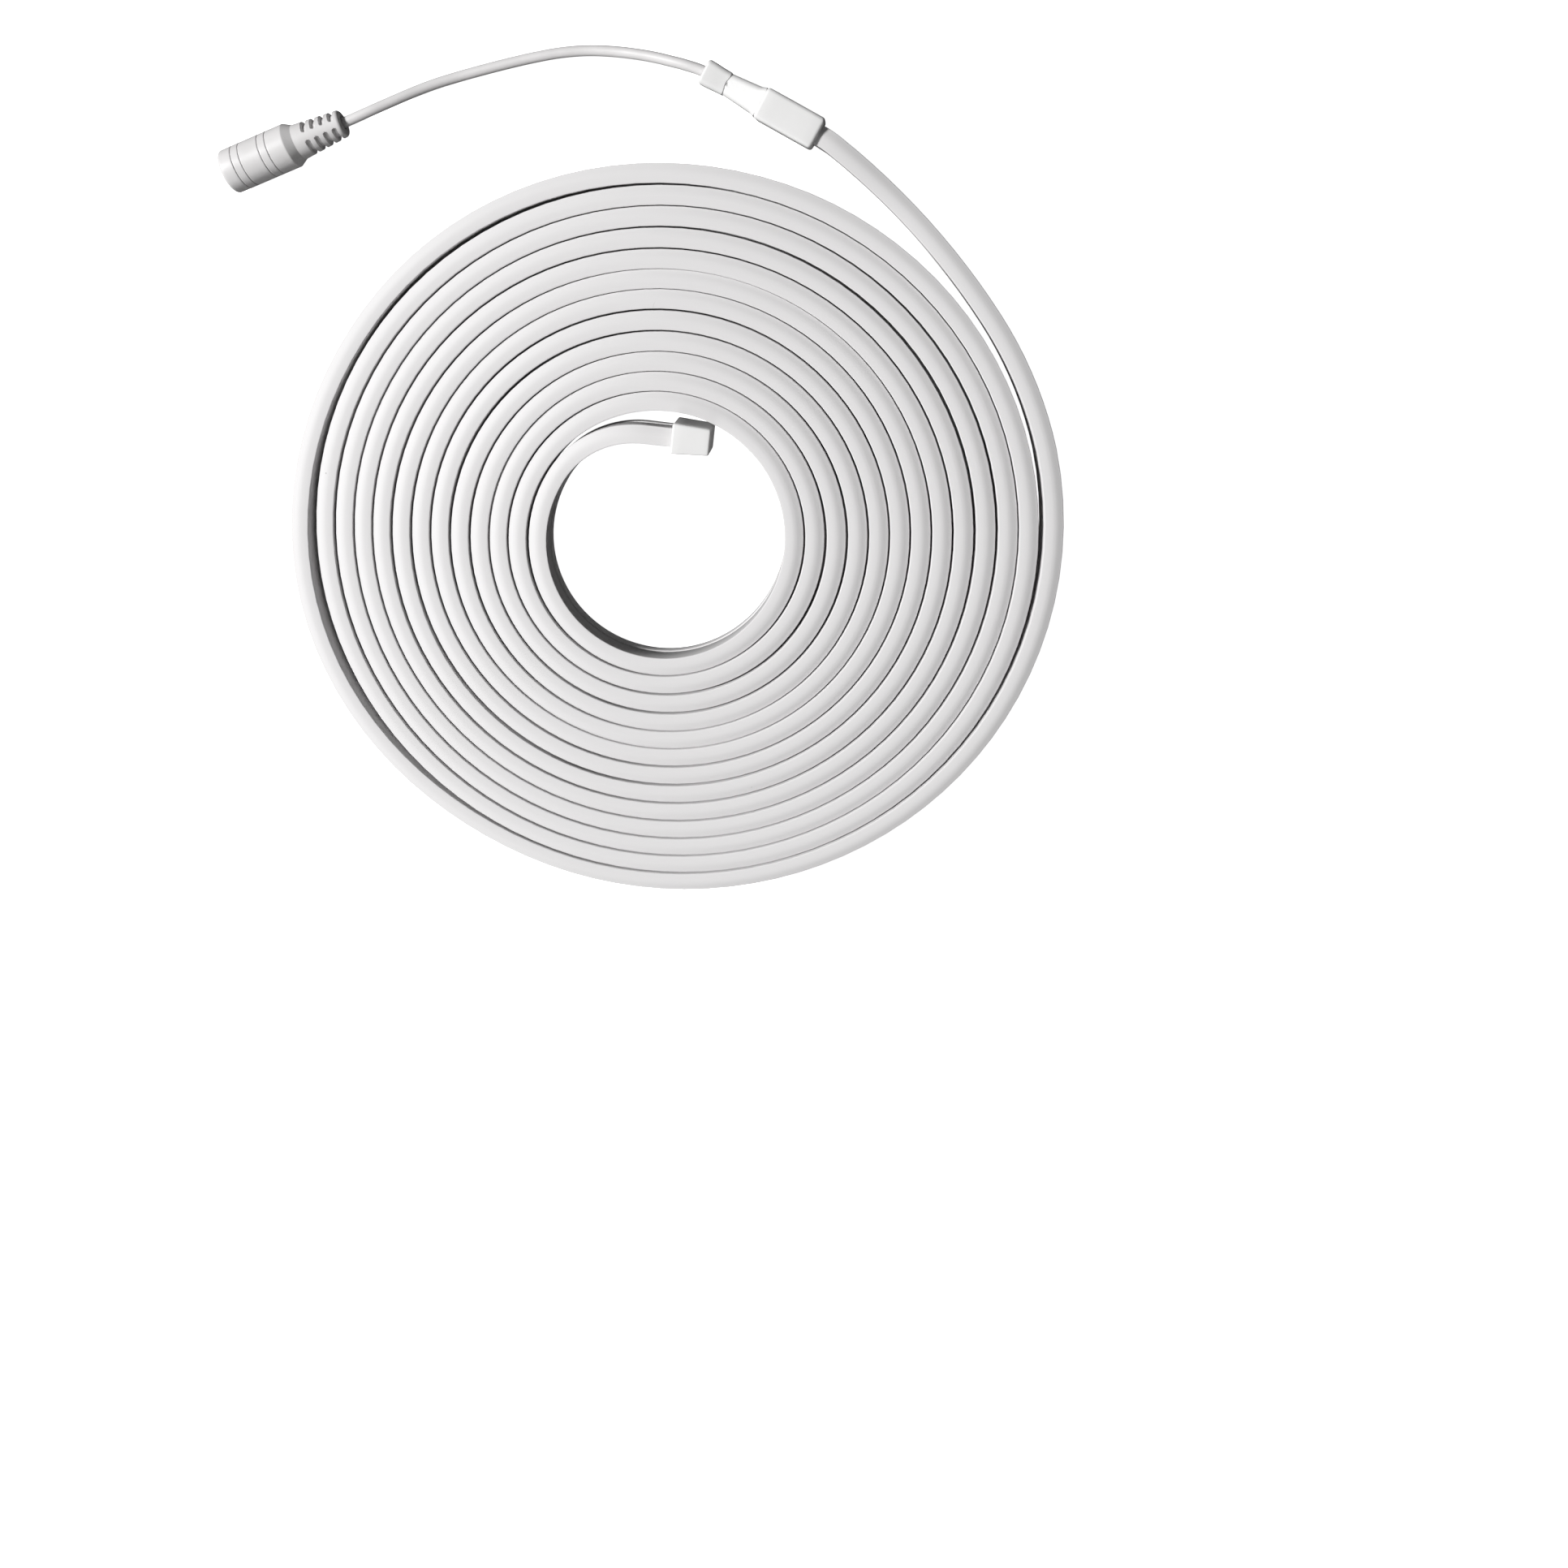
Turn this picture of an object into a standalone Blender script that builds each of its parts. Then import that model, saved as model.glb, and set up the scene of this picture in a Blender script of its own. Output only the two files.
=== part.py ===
"""LED neon flex wound flat in one spiral, with its end cap, feed cap, lead and DC socket.

Lengths are in metres and angles in degrees. The coil lies on the plane z = 0. Plan positions are
taken from the axis of the coil, and an empty then puts the middle of the held pieces at x = y = 0.
"""

import math

import bmesh
import bpy
from mathutils import Matrix, Vector

# Gap between pieces that fit together
CLEARANCE = 0.0003

# Section of the flex: a base lip, a shallow recess along each side, and a domed light face
FLEX_WIDTH = 0.00445
FLEX_HEIGHT = 0.0095
LIP_HEIGHT = 0.00285
RECESS_HEIGHT = 0.0019
RECESS_DEPTH = 0.00025
RECESS_SLOPE = 0.00015
DOME_HEIGHT = 0.0013
DOME_FULLNESS = 2.6
DOME_STEPS = 3

# Spiral: winding angles count up from +X, along the flex from its inner end
TURN_GAP = 0.00035
START_ANGLE = 150.0
START_RADIUS = 0.02953
WINDING_TURNS = 12.625
STEP_ANGLE = 15.0

# How far the turns lie off the true spiral, from the inner end of the flex to its feed end:
# a shift along X and Y, and an oval along X and along the diagonal
INNER_SHIFT = (-0.00034, 0.00013)
OUTER_SHIFT = (0.00025, 0.00013)
INNER_OVAL = (-0.00024, 0.00015)
OUTER_OVAL = (0.00084, 0.00015)

# The outermost turn lies a little loose over two stretches, measured back from its end, and swings
# out before it leaves the coil
SLACK_WIDTH = 0.0018
SLACK_LENGTH_ANGLE = 105.0
SLACK_END_ANGLE = 127.5
SMALL_SLACK_WIDTH = 0.0004
SMALL_SLACK_LENGTH_ANGLE = 120.0
SMALL_SLACK_END_ANGLE = 185.0
SWING_WIDTH = 0.0009
SWING_LENGTH_ANGLE = 100.0

# Inner end of the flex, which straightens towards the bore
INNER_BEND_RADIUS = 0.0228
INNER_BEND_ANGLE = 65.5
INNER_TAIL = 0.0139

# Feed end of the flex: it leaves the coil on one bend, runs nearly straight on a wide one and
# turns into its cap on a close one
LEAVING_BEND_RADIUS = 0.0956
LEAVING_BEND_ANGLE = 19.5
WIDE_BEND_RADIUS = 0.1684
WIDE_BEND_ANGLE = 18.0
CLOSE_BEND_RADIUS = 0.0273
CLOSE_BEND_ANGLE = 9.0
FEED_TAIL = 0.0086

# Both ends ride up over the wall of their cap along this length
LIFT_LENGTH = 0.025

# Caps moulded over the two ends
CAP_WALL = 0.00115
CAP_EDGE_RADIUS = 0.0009
END_CAP_LENGTH = 0.0091
END_CAP_FACE = 0.0015
END_CAP_TAPER = 0.0005
BLOCK_LENGTH = 0.0148
BLOCK_POCKET = 0.0088

# Tapered neck and collar of the feed cap
NECK_LENGTH = 0.0086
NECK_SIDE_STEP = 0.00045
NECK_TOP_STEP = 0.0018
NECK_WALL = 0.00093
NECK_CORNER_RADIUS = 0.0012
COLLAR_LENGTH = 0.0061
COLLAR_NECK_WALL = 0.0011
COLLAR_LEAD_WALL = 0.00135
COLLAR_EDGE = 0.0004
CORNER_STEPS = 2

# Lead
LEAD_DIAMETER = 0.0025
LEAD_SEAT = 0.0060
LEAD_POINT_SPACING = 0.0060

# Socket on the lead: a barrel, a shoulder and a ribbed strain relief
SOCKET_DIAMETER = 0.0105
SOCKET_MOUTH = (-0.10367, 0.08636)
SOCKET_HEADING = 21.2
BARREL_LENGTH = 0.0170
SHOULDER_LENGTH = 0.0020
RELIEF_LENGTH = 0.0119
RELIEF_START_DIAMETER = 0.0083
RELIEF_END_DIAMETER = 0.0065
RELIEF_ROUND = 0.0009
MOUTH_ROUND = 0.0005
GROOVE_PAIR_STARTS = (0.0035, 0.0106)
GROOVE_PAIR_SPACING = 0.0020
GROOVE_WIDTH = 0.0003
GROOVE_DEPTH = 0.00015
SOCKET_SIDES = 24

# Slots of the strain relief, in rows on both sides of a rib
SLOT_COUNT = 4
SLOT_WIDTH = 0.0009
SLOT_PITCH = 0.00225
SLOT_DEPTH = 0.0008
SLOT_START = 0.0027
SLOT_ARC = 149.0
SLOT_STEPS = 6

# Inside of the socket
SOCKET_BORE_DIAMETER = 0.0057
SOCKET_BORE_DEPTH = 0.0095
PIN_DIAMETER = 0.0020
PIN_RECESS = 0.0012
PIN_TIP_RADIUS = 0.0004
PIN_SIDES = 12

# Route of the lead from collar to socket, as x, y and height of its centreline
LEAD_ROUTE = (
    (0.0056, 0.10930, 0.00595),
    (0.0024, 0.11020, 0.00530),
    (-0.0032, 0.11160, 0.00390),
    (-0.0103, 0.11277, 0.00230),
    (-0.0172, 0.11325, 0.00145),
    (-0.0235, 0.11295, 0.00127),
    (-0.0300, 0.11197, 0.00126),
    (-0.0370, 0.11055, 0.00126),
    (-0.0437, 0.10900, 0.00130),
    (-0.0490, 0.10762, 0.00160),
    (-0.0540, 0.10610, 0.00230),
    (-0.0590, 0.10418, 0.00330),
    (-0.0640, 0.10205, 0.00430),
    (-0.0695, 0.09970, 0.00515),
)


def clear_scene():
    """Remove every object of the scene."""
    for item in list(bpy.data.objects):
        bpy.data.objects.remove(item, do_unlink=True)


def make_material(name, colour, roughness, metallic=0.0):
    """Return a Principled material of one plain colour."""
    material = bpy.data.materials.new(name)
    material.use_nodes = True
    shader = material.node_tree.nodes["Principled BSDF"]
    shader.inputs["Base Color"].default_value = (*colour, 1.0)
    shader.inputs["Roughness"].default_value = roughness
    shader.inputs["Metallic"].default_value = metallic
    return material


def add_object(name, bm, parent, material=None):
    """Turn a bmesh into an object of the scene under a parent."""
    bmesh.ops.recalc_face_normals(bm, faces=bm.faces)
    mesh = bpy.data.meshes.new(name)
    bm.to_mesh(mesh)
    bm.free()
    item = bpy.data.objects.new(name, mesh)
    bpy.context.collection.objects.link(item)
    item.parent = parent
    if material:
        mesh.materials.append(material)
    return item


def shade(item, sharp_angle):
    """Shade an object smooth, with edges sharper than the angle kept crisp."""
    item.data.shade_smooth()
    item.data.set_sharp_from_angle(angle=math.radians(sharp_angle))


def cut(item, cutter):
    """Cut one object with another, which is kept as a hidden guide."""
    cutter.hide_render = True
    cutter.display_type = "WIRE"
    modifier = item.modifiers.new(cutter.name, "BOOLEAN")
    modifier.object = cutter
    modifier.operation = "DIFFERENCE"
    modifier.solver = "EXACT"


def extend(bm, ring, places):
    """Extrude a ring of vertices and put its copy at the given places."""
    edges = [bm.edges.get(pair) for pair in zip(ring, ring[1:] + ring[:1])]
    made = bmesh.ops.extrude_edge_only(bm, edges=edges)["geom"]
    fresh = {item for item in made if isinstance(item, bmesh.types.BMVert)}
    copy = []
    for vertex, place in zip(ring, places):
        partner = next(edge.other_vert(vertex) for edge in vertex.link_edges
                       if edge.other_vert(vertex) in fresh)
        partner.co = place
        copy.append(partner)
    return copy


def loft(sections):
    """Return a closed bmesh through sections that hold the same number of points."""
    bm = bmesh.new()
    first = [bm.verts.new(point) for point in sections[0]]
    for pair in zip(first, first[1:] + first[:1]):
        bm.edges.new(pair)
    ring = first
    for section in sections[1:]:
        ring = extend(bm, ring, section)
    bm.faces.new(first)
    bm.faces.new(ring)
    return bm


def flex_outline(grow=0.0, recessed=True):
    """Return the section of the flex as points across and up, grown by a gap all round."""
    half = FLEX_WIDTH / 2 + grow
    shoulder = FLEX_HEIGHT - DOME_HEIGHT
    right = [(half, -grow)]
    if recessed:
        inset = half - RECESS_DEPTH
        recess_top = LIP_HEIGHT + RECESS_HEIGHT
        right += [(half, LIP_HEIGHT), (inset, LIP_HEIGHT + RECESS_SLOPE),
                  (inset, recess_top - RECESS_SLOPE), (half, recess_top)]
    for step in range(DOME_STEPS):
        angle = math.radians(90 * step / DOME_STEPS)
        across = half * math.cos(angle) ** (2 / DOME_FULLNESS)
        right.append((across, shoulder + (DOME_HEIGHT + grow) * math.sin(angle) ** (2 / DOME_FULLNESS)))
    left = [(-across, up) for across, up in reversed(right)]
    return right + [(0.0, FLEX_HEIGHT + grow)] + left


def walk_arc(place, heading, radius, angle, steps):
    """Return the places along an arc that turns left, or right where the radius is negative."""
    turn = math.copysign(angle, radius)
    centre_x = place[0] - radius * math.sin(math.radians(heading))
    centre_y = place[1] + radius * math.cos(math.radians(heading))
    places = []
    for step in range(1, steps + 1):
        now = math.radians(heading + turn * step / steps)
        places.append((centre_x + radius * math.sin(now), centre_y - radius * math.cos(now)))
    return places


def walk_straight(place, heading, length, steps):
    """Return the places along a straight run."""
    along = Vector((math.cos(math.radians(heading)), math.sin(math.radians(heading))))
    return [tuple(Vector(place) + along * length * step / steps) for step in range(1, steps + 1)]


def off_circle(angle, share):
    """Return how far a turn lies outside the true spiral, at a share of the winding."""
    shift = Vector(INNER_SHIFT).lerp(Vector(OUTER_SHIFT), share)
    oval = Vector(INNER_OVAL).lerp(Vector(OUTER_OVAL), share)
    turn = math.radians(angle)
    return (shift.dot((math.cos(turn), math.sin(turn)))
            + oval.dot((math.cos(2 * turn), math.sin(2 * turn))))


def slack(to_end, width, length, ends):
    """Return how far a loose stretch moves the flex outwards, at an angle before its end."""
    share = min(max((to_end - ends) / length, 0.0), 1.0)
    return width * math.sin(math.pi * share) ** 2


def spiral_place(angle, end_angle):
    """Return the place of the flex at a winding angle."""
    radius = START_RADIUS + (FLEX_WIDTH + TURN_GAP) * (angle - START_ANGLE) / 360
    radius += off_circle(angle, (angle - START_ANGLE) / (end_angle - START_ANGLE))
    to_end = end_angle - angle
    radius += slack(to_end, SLACK_WIDTH, SLACK_LENGTH_ANGLE, SLACK_END_ANGLE)
    radius += slack(to_end, SMALL_SLACK_WIDTH, SMALL_SLACK_LENGTH_ANGLE, SMALL_SLACK_END_ANGLE)
    radius += SWING_WIDTH * max(1 - to_end / SWING_LENGTH_ANGLE, 0.0) ** 2
    return (radius * math.cos(math.radians(angle)), radius * math.sin(math.radians(angle)))


def flex_path():
    """Return the places of the centreline of the flex in plan, from its inner end to its feed end."""
    end_angle = START_ANGLE + 360 * WINDING_TURNS
    steps = math.ceil((end_angle - START_ANGLE) / STEP_ANGLE)
    angles = [START_ANGLE + STEP_ANGLE * step for step in range(steps)] + [end_angle]
    winding = [spiral_place(angle, end_angle) for angle in angles]
    back_heading = START_ANGLE - 90
    inner = walk_arc(winding[0], back_heading, -INNER_BEND_RADIUS, INNER_BEND_ANGLE, 5)
    inner += walk_straight(inner[-1], back_heading - INNER_BEND_ANGLE, INNER_TAIL, 4)
    feed_heading = end_angle + 90
    feed = walk_arc(winding[-1], feed_heading, LEAVING_BEND_RADIUS, LEAVING_BEND_ANGLE, 3)
    feed_heading += LEAVING_BEND_ANGLE
    feed += walk_arc(feed[-1], feed_heading, WIDE_BEND_RADIUS, WIDE_BEND_ANGLE, 4)
    feed_heading += WIDE_BEND_ANGLE
    feed += walk_arc(feed[-1], feed_heading, CLOSE_BEND_RADIUS, CLOSE_BEND_ANGLE, 3)
    feed += walk_straight(feed[-1], feed_heading + CLOSE_BEND_ANGLE, FEED_TAIL, 2)
    return inner[::-1] + winding + feed


def smooth_step(value):
    """Return a smooth rise from 0 to 1 while the value runs from 0 to 1."""
    value = min(max(value, 0.0), 1.0)
    return value * value * (3 - 2 * value)


def flex_heights(path):
    """Return the height of the base of the flex at each place of its path."""
    runs = [0.0]
    for before, after in zip(path, path[1:]):
        runs.append(runs[-1] + math.dist(before, after))
    lift = CAP_WALL + CLEARANCE
    heights = []
    for run in runs:
        from_inner = (run - INNER_TAIL) / LIFT_LENGTH
        from_feed = (runs[-1] - run - FEED_TAIL) / LIFT_LENGTH
        heights.append(lift * (1 - smooth_step(min(from_inner, from_feed))))
    return heights


def build_flex(parent, material):
    """Make the flex, one solid swept along the spiral and out to both of its ends."""
    path = flex_path()
    outline = flex_outline()
    sections = []
    for index, (place, height) in enumerate(zip(path, flex_heights(path))):
        before = Vector(path[max(index - 1, 0)])
        after = Vector(path[min(index + 1, len(path) - 1)])
        along = (after - before).normalized()
        sections.append([(place[0] + across * along.y, place[1] - across * along.x, height + up)
                         for across, up in outline])
    flex = add_object("neon_flex", loft(sections), parent, material)
    shade(flex, 40)
    return flex


def flex_end(path):
    """Return the last place of a path and the heading of the flex there."""
    step = Vector(path[-1]) - Vector(path[-2])
    return Vector(path[-1]), math.degrees(math.atan2(step.y, step.x))


def place_on_end(item, path, pocket_depth):
    """Put a cap on the end of the flex, with the origin of the cap in its mouth."""
    tip, heading = flex_end(path)
    turn = math.radians(heading)
    back = pocket_depth - CLEARANCE
    item.location = (tip.x - back * math.cos(turn), tip.y - back * math.sin(turn), 0.0)
    item.rotation_euler.z = turn


def pocket_cutter(name, depth, parent):
    """Make the cutter of the pocket that takes the end of the flex."""
    outline = flex_outline(CLEARANCE, recessed=False)
    floor = CAP_WALL + CLEARANCE
    sections = [[(x, across, floor + up) for across, up in outline] for x in (-CAP_WALL, depth)]
    return add_object(name, loft(sections), parent)


def cap_width():
    """Return the outer width of both caps at the flex."""
    return FLEX_WIDTH + 2 * (CLEARANCE + CAP_WALL)


def cap_height():
    """Return the outer height of both caps at the flex."""
    return FLEX_HEIGHT + 2 * (CLEARANCE + CAP_WALL)


def build_end_cap(parent, path, material):
    """Make the closed cap on the inner end of the flex."""
    bm = bmesh.new()
    bmesh.ops.create_cube(bm, size=1.0)
    for vertex in bm.verts:
        narrow = END_CAP_TAPER if vertex.co.x > 0 else 0.0
        half = cap_width() / 2 - narrow
        vertex.co = ((vertex.co.x + 0.5) * END_CAP_LENGTH, math.copysign(half, vertex.co.y),
                     (vertex.co.z + 0.5) * cap_height())
    bmesh.ops.bevel(bm, geom=bm.edges[:], offset=CAP_EDGE_RADIUS, segments=2, profile=0.5,
                    affect="EDGES")
    cap = add_object("end_cap", bm, parent, material)
    depth = END_CAP_LENGTH - END_CAP_FACE
    place_on_end(cap, path, depth)
    cut(cap, pocket_cutter("end_cap_pocket", depth, cap))
    shade(cap, 40)
    return cap


def rounded_section(x, width, height, radius, centre):
    """Return a rectangle with round corners, standing across the X axis."""
    points = []
    corners = ((1, -1, -90), (1, 1, 0), (-1, 1, 90), (-1, -1, 180))
    for side, level, start in corners:
        for step in range(CORNER_STEPS + 1):
            angle = math.radians(start + 90 * step / CORNER_STEPS)
            points.append((x, side * (width / 2 - radius) + radius * math.cos(angle),
                           centre + level * (height / 2 - radius) + radius * math.sin(angle)))
    return points


def feed_length():
    """Return the length of the feed cap from its mouth to the end of its collar."""
    return BLOCK_LENGTH + NECK_LENGTH + COLLAR_LENGTH


def build_feed_cap(parent, path, material):
    """Make the feed cap: a block over the flex, a tapered neck and a collar round the lead."""
    width = cap_width()
    height = cap_height()
    axis = height / 2
    edge = CAP_EDGE_RADIUS
    bore = LEAD_DIAMETER + 2 * CLEARANCE
    root_width = width - 2 * NECK_SIDE_STEP
    root_height = height - 2 * NECK_TOP_STEP
    tip = bore + 2 * NECK_WALL
    collar_neck = bore + 2 * COLLAR_NECK_WALL
    collar_lead = bore + 2 * COLLAR_LEAD_WALL
    collar_start = BLOCK_LENGTH + NECK_LENGTH
    rows = (
        (0.0, width - edge, height - edge, edge),
        (edge / 2, width, height, edge),
        (BLOCK_LENGTH - edge, width, height, edge),
        (BLOCK_LENGTH, width - edge, height - edge, edge),
        (BLOCK_LENGTH + edge / 2, root_width, root_height, NECK_CORNER_RADIUS),
        (collar_start, tip, tip, NECK_CORNER_RADIUS),
        (collar_start + COLLAR_EDGE, collar_neck, collar_neck, NECK_CORNER_RADIUS),
        (feed_length() - COLLAR_EDGE, collar_lead, collar_lead, NECK_CORNER_RADIUS),
        (feed_length(), collar_lead - COLLAR_EDGE, collar_lead - COLLAR_EDGE, NECK_CORNER_RADIUS),
    )
    bm = loft([rounded_section(x, wide, high, radius, axis) for x, wide, high, radius in rows])
    cap = add_object("feed_cap", bm, parent, material)
    place_on_end(cap, path, BLOCK_POCKET)
    cut(cap, pocket_cutter("feed_cap_pocket", BLOCK_POCKET, cap))
    cut(cap, round_cutter("feed_cap_bore", bore, feed_length() - LEAD_SEAT, feed_length(), axis, cap))
    shade(cap, 40)
    return cap


def round_cutter(name, diameter, start, end, height, parent):
    """Make the cutter of a round bore along X that is open at its far end."""
    sides = SOCKET_SIDES // 2
    radius = diameter / 2 / math.cos(math.pi / sides)
    bm = bmesh.new()
    length = end - start + diameter
    turn = Matrix.Translation((start + length / 2, 0.0, height)) @ Matrix.Rotation(math.pi / 2, 4, "Y")
    bmesh.ops.create_cone(bm, cap_ends=True, segments=sides, radius1=radius, radius2=radius,
                          depth=length, matrix=turn)
    return add_object(name, bm, parent)


def spin_profile(profile, sides):
    """Return a closed bmesh turned about X from a profile that starts and ends on the axis."""
    bm = bmesh.new()
    points = [bm.verts.new((x, 0.0, radius)) for x, radius in profile]
    edges = [bm.edges.new(pair) for pair in zip(points, points[1:])]
    bmesh.ops.spin(bm, geom=points + edges, cent=(0, 0, 0), axis=(1, 0, 0), angle=math.tau,
                   steps=sides, use_merge=True, use_duplicate=False)
    bmesh.ops.remove_doubles(bm, verts=bm.verts, dist=1e-7)
    return bm


def groove_points(start, radius):
    """Return the profile points of one fine groove round the barrel."""
    return [(start, radius), (start + GROOVE_WIDTH / 2, radius - GROOVE_DEPTH),
            (start + GROOVE_WIDTH, radius)]


def socket_length():
    """Return the length of the socket from its mouth to the end of its strain relief."""
    return BARREL_LENGTH + SHOULDER_LENGTH + RELIEF_LENGTH


def socket_profile():
    """Return the turned profile of the socket, from the floor of its bore round to the lead seat."""
    bore = SOCKET_BORE_DIAMETER / 2
    barrel = SOCKET_DIAMETER / 2
    seat = LEAD_DIAMETER / 2 + CLEARANCE
    relief_end = RELIEF_END_DIAMETER / 2
    length = socket_length()
    profile = [(SOCKET_BORE_DEPTH, 0.0), (SOCKET_BORE_DEPTH, bore), (0.0, bore),
               (0.0, barrel - MOUTH_ROUND), (MOUTH_ROUND, barrel)]
    for start in GROOVE_PAIR_STARTS:
        profile += groove_points(start, barrel) + groove_points(start + GROOVE_PAIR_SPACING, barrel)
    profile += [(BARREL_LENGTH, barrel), (BARREL_LENGTH + SHOULDER_LENGTH, RELIEF_START_DIAMETER / 2),
                (length - RELIEF_ROUND, relief_end), (length, relief_end - RELIEF_ROUND),
                (length, seat), (length - LEAD_SEAT, seat), (length - LEAD_SEAT, 0.0)]
    return profile


def slot_cutter(parent):
    """Make the cutter of the slots on both sides of the strain relief."""
    bm = bmesh.new()
    relief_start = BARREL_LENGTH + SHOULDER_LENGTH
    narrowing = (RELIEF_START_DIAMETER - RELIEF_END_DIAMETER) / 2 / RELIEF_LENGTH
    for index in range(SLOT_COUNT):
        start = SLOT_START + SLOT_PITCH * index
        floor = RELIEF_START_DIAMETER / 2 - narrowing * start - SLOT_DEPTH
        rim = RELIEF_START_DIAMETER / 2 + SLOT_DEPTH
        x = relief_start + start
        corners = ((x, floor), (x + SLOT_WIDTH, floor), (x + SLOT_WIDTH, rim), (x, rim))
        for side in (90, -90):
            first = math.radians(side - SLOT_ARC / 2)
            points = [bm.verts.new((along, radius * math.sin(first), radius * math.cos(first)))
                      for along, radius in corners]
            face = bm.faces.new(points)
            swept = bmesh.ops.extrude_face_region(bm, geom=[face])["geom"]
            sweep_slot(bm, swept)
    return add_object("relief_slots", bm, parent)


def sweep_slot(bm, geometry):
    """Carry the extruded end of one slot round the relief in steps."""
    step = Matrix.Rotation(-math.radians(SLOT_ARC / SLOT_STEPS), 3, "X")
    for count in range(SLOT_STEPS):
        vertices = [item for item in geometry if isinstance(item, bmesh.types.BMVert)]
        bmesh.ops.rotate(bm, cent=(0, 0, 0), matrix=step, verts=vertices)
        if count < SLOT_STEPS - 1:
            face = [item for item in geometry if isinstance(item, bmesh.types.BMFace)]
            geometry = bmesh.ops.extrude_face_region(bm, geom=face)["geom"]
            bmesh.ops.delete(bm, geom=face, context="FACES_ONLY")


def build_socket(parent, material):
    """Make the moulded socket at the far end of the lead."""
    socket = add_object("dc_socket", spin_profile(socket_profile(), SOCKET_SIDES), parent, material)
    socket.location = (*SOCKET_MOUTH, SOCKET_DIAMETER / 2)
    socket.rotation_euler.z = math.radians(SOCKET_HEADING)
    cut(socket, slot_cutter(socket))
    shade(socket, 35)
    return socket


def build_pin(socket, material):
    """Make the contact pin in the middle of the socket."""
    radius = PIN_DIAMETER / 2
    seat = SOCKET_BORE_DEPTH - CLEARANCE
    profile = [(PIN_RECESS, 0.0), (PIN_RECESS, radius - PIN_TIP_RADIUS),
               (PIN_RECESS + PIN_TIP_RADIUS, radius), (seat, radius), (seat, 0.0)]
    pin = add_object("contact_pin", spin_profile(profile, PIN_SIDES), socket, material)
    shade(pin, 35)
    return pin


def curve_through(points, spacing):
    """Return points at an even spacing along a smooth curve through the given points."""
    ends = [points[0] * 2 - points[1], *points, points[-1] * 2 - points[-2]]
    curve = []
    for before, start, stop, after in zip(ends, ends[1:], ends[2:], ends[3:]):
        count = max(1, round((stop - start).length / spacing))
        for step in range(count):
            t = step / count
            curve.append(0.5 * (2 * start + (stop - before) * t
                                + (2 * before - 5 * start + 4 * stop - after) * t ** 2
                                + (3 * start - before - 3 * stop + after) * t ** 3))
    return curve + [points[-1]]


def lead_points(path):
    """Return the route of the lead, with its two ends seated in the feed cap and the socket."""
    tip, heading = flex_end(path)
    along = Vector((math.cos(math.radians(heading)), math.sin(math.radians(heading)), 0.0))
    mouth = tip.to_3d() - along * (BLOCK_POCKET - CLEARANCE) + Vector((0, 0, cap_height() / 2))
    inner = mouth + along * (feed_length() - LEAD_SEAT + CLEARANCE)
    exit_point = mouth + along * feed_length()
    turn = math.radians(SOCKET_HEADING)
    axis = Vector((math.cos(turn), math.sin(turn), 0.0))
    socket_mouth = Vector((*SOCKET_MOUTH, SOCKET_DIAMETER / 2))
    relief_end = socket_mouth + axis * socket_length()
    seat = relief_end - axis * (LEAD_SEAT - CLEARANCE)
    return [inner, exit_point, *map(Vector, LEAD_ROUTE), relief_end, seat]


def build_lead(parent, path, material):
    """Make the lead as a round tube along its route."""
    points = curve_through(lead_points(path), LEAD_POINT_SPACING)
    curve = bpy.data.curves.new("power_lead", "CURVE")
    curve.dimensions = "3D"
    curve.bevel_depth = LEAD_DIAMETER / 2
    curve.bevel_resolution = 2
    curve.use_fill_caps = True
    spline = curve.splines.new("POLY")
    spline.points.add(len(points) - 1)
    for slot, point in zip(spline.points, points):
        slot.co = (*point, 1.0)
    curve.materials.append(material)
    lead = bpy.data.objects.new("power_lead", curve)
    bpy.context.collection.objects.link(lead)
    lead.parent = parent
    return lead


def centre_frame(frame, items):
    """Move the frame so that the box round the given items is centred on x = y = 0."""
    bpy.context.view_layer.update()
    graph = bpy.context.evaluated_depsgraph_get()
    corners = []
    for item in items:
        evaluated = item.evaluated_get(graph)
        corners += [evaluated.matrix_world @ vertex.co for vertex in evaluated.to_mesh().vertices]
        evaluated.to_mesh_clear()
    for axis in (0, 1):
        values = [corner[axis] for corner in corners]
        frame.location[axis] = -(min(values) + max(values)) / 2


def main():
    """Build the coil with its caps, lead and socket."""
    clear_scene()
    silicone = make_material("milky_silicone", (0.80, 0.79, 0.79), 0.42)
    moulding = make_material("white_moulding", (0.85, 0.85, 0.84), 0.40)
    jacket = make_material("white_jacket", (0.76, 0.75, 0.75), 0.45)
    plated = make_material("plated_metal", (0.83, 0.82, 0.78), 0.28, metallic=1.0)
    frame = bpy.data.objects.new("coil_frame", None)
    bpy.context.collection.objects.link(frame)
    path = flex_path()
    flex = build_flex(frame, silicone)
    end_cap = build_end_cap(frame, path[::-1], moulding)
    feed_cap = build_feed_cap(frame, path, moulding)
    build_lead(frame, path, jacket)
    socket = build_socket(frame, jacket)
    build_pin(socket, plated)
    centre_frame(frame, (flex, end_cap, feed_cap))


main()
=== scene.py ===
"""Render scene of an LED neon flex wound flat in a coil, with its caps, lead and DC socket.

Lengths are in metres and angles in degrees. Plan places are taken from the axis of the coil, and
COIL_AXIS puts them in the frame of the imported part. The camera and the lead are made first.
"""

import logging
import math
from collections.abc import Iterable, Mapping, Sequence
from dataclasses import dataclass, field
from enum import Enum
from typing import Union

import bmesh
import bpy
from mathutils import Matrix, Vector


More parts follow.
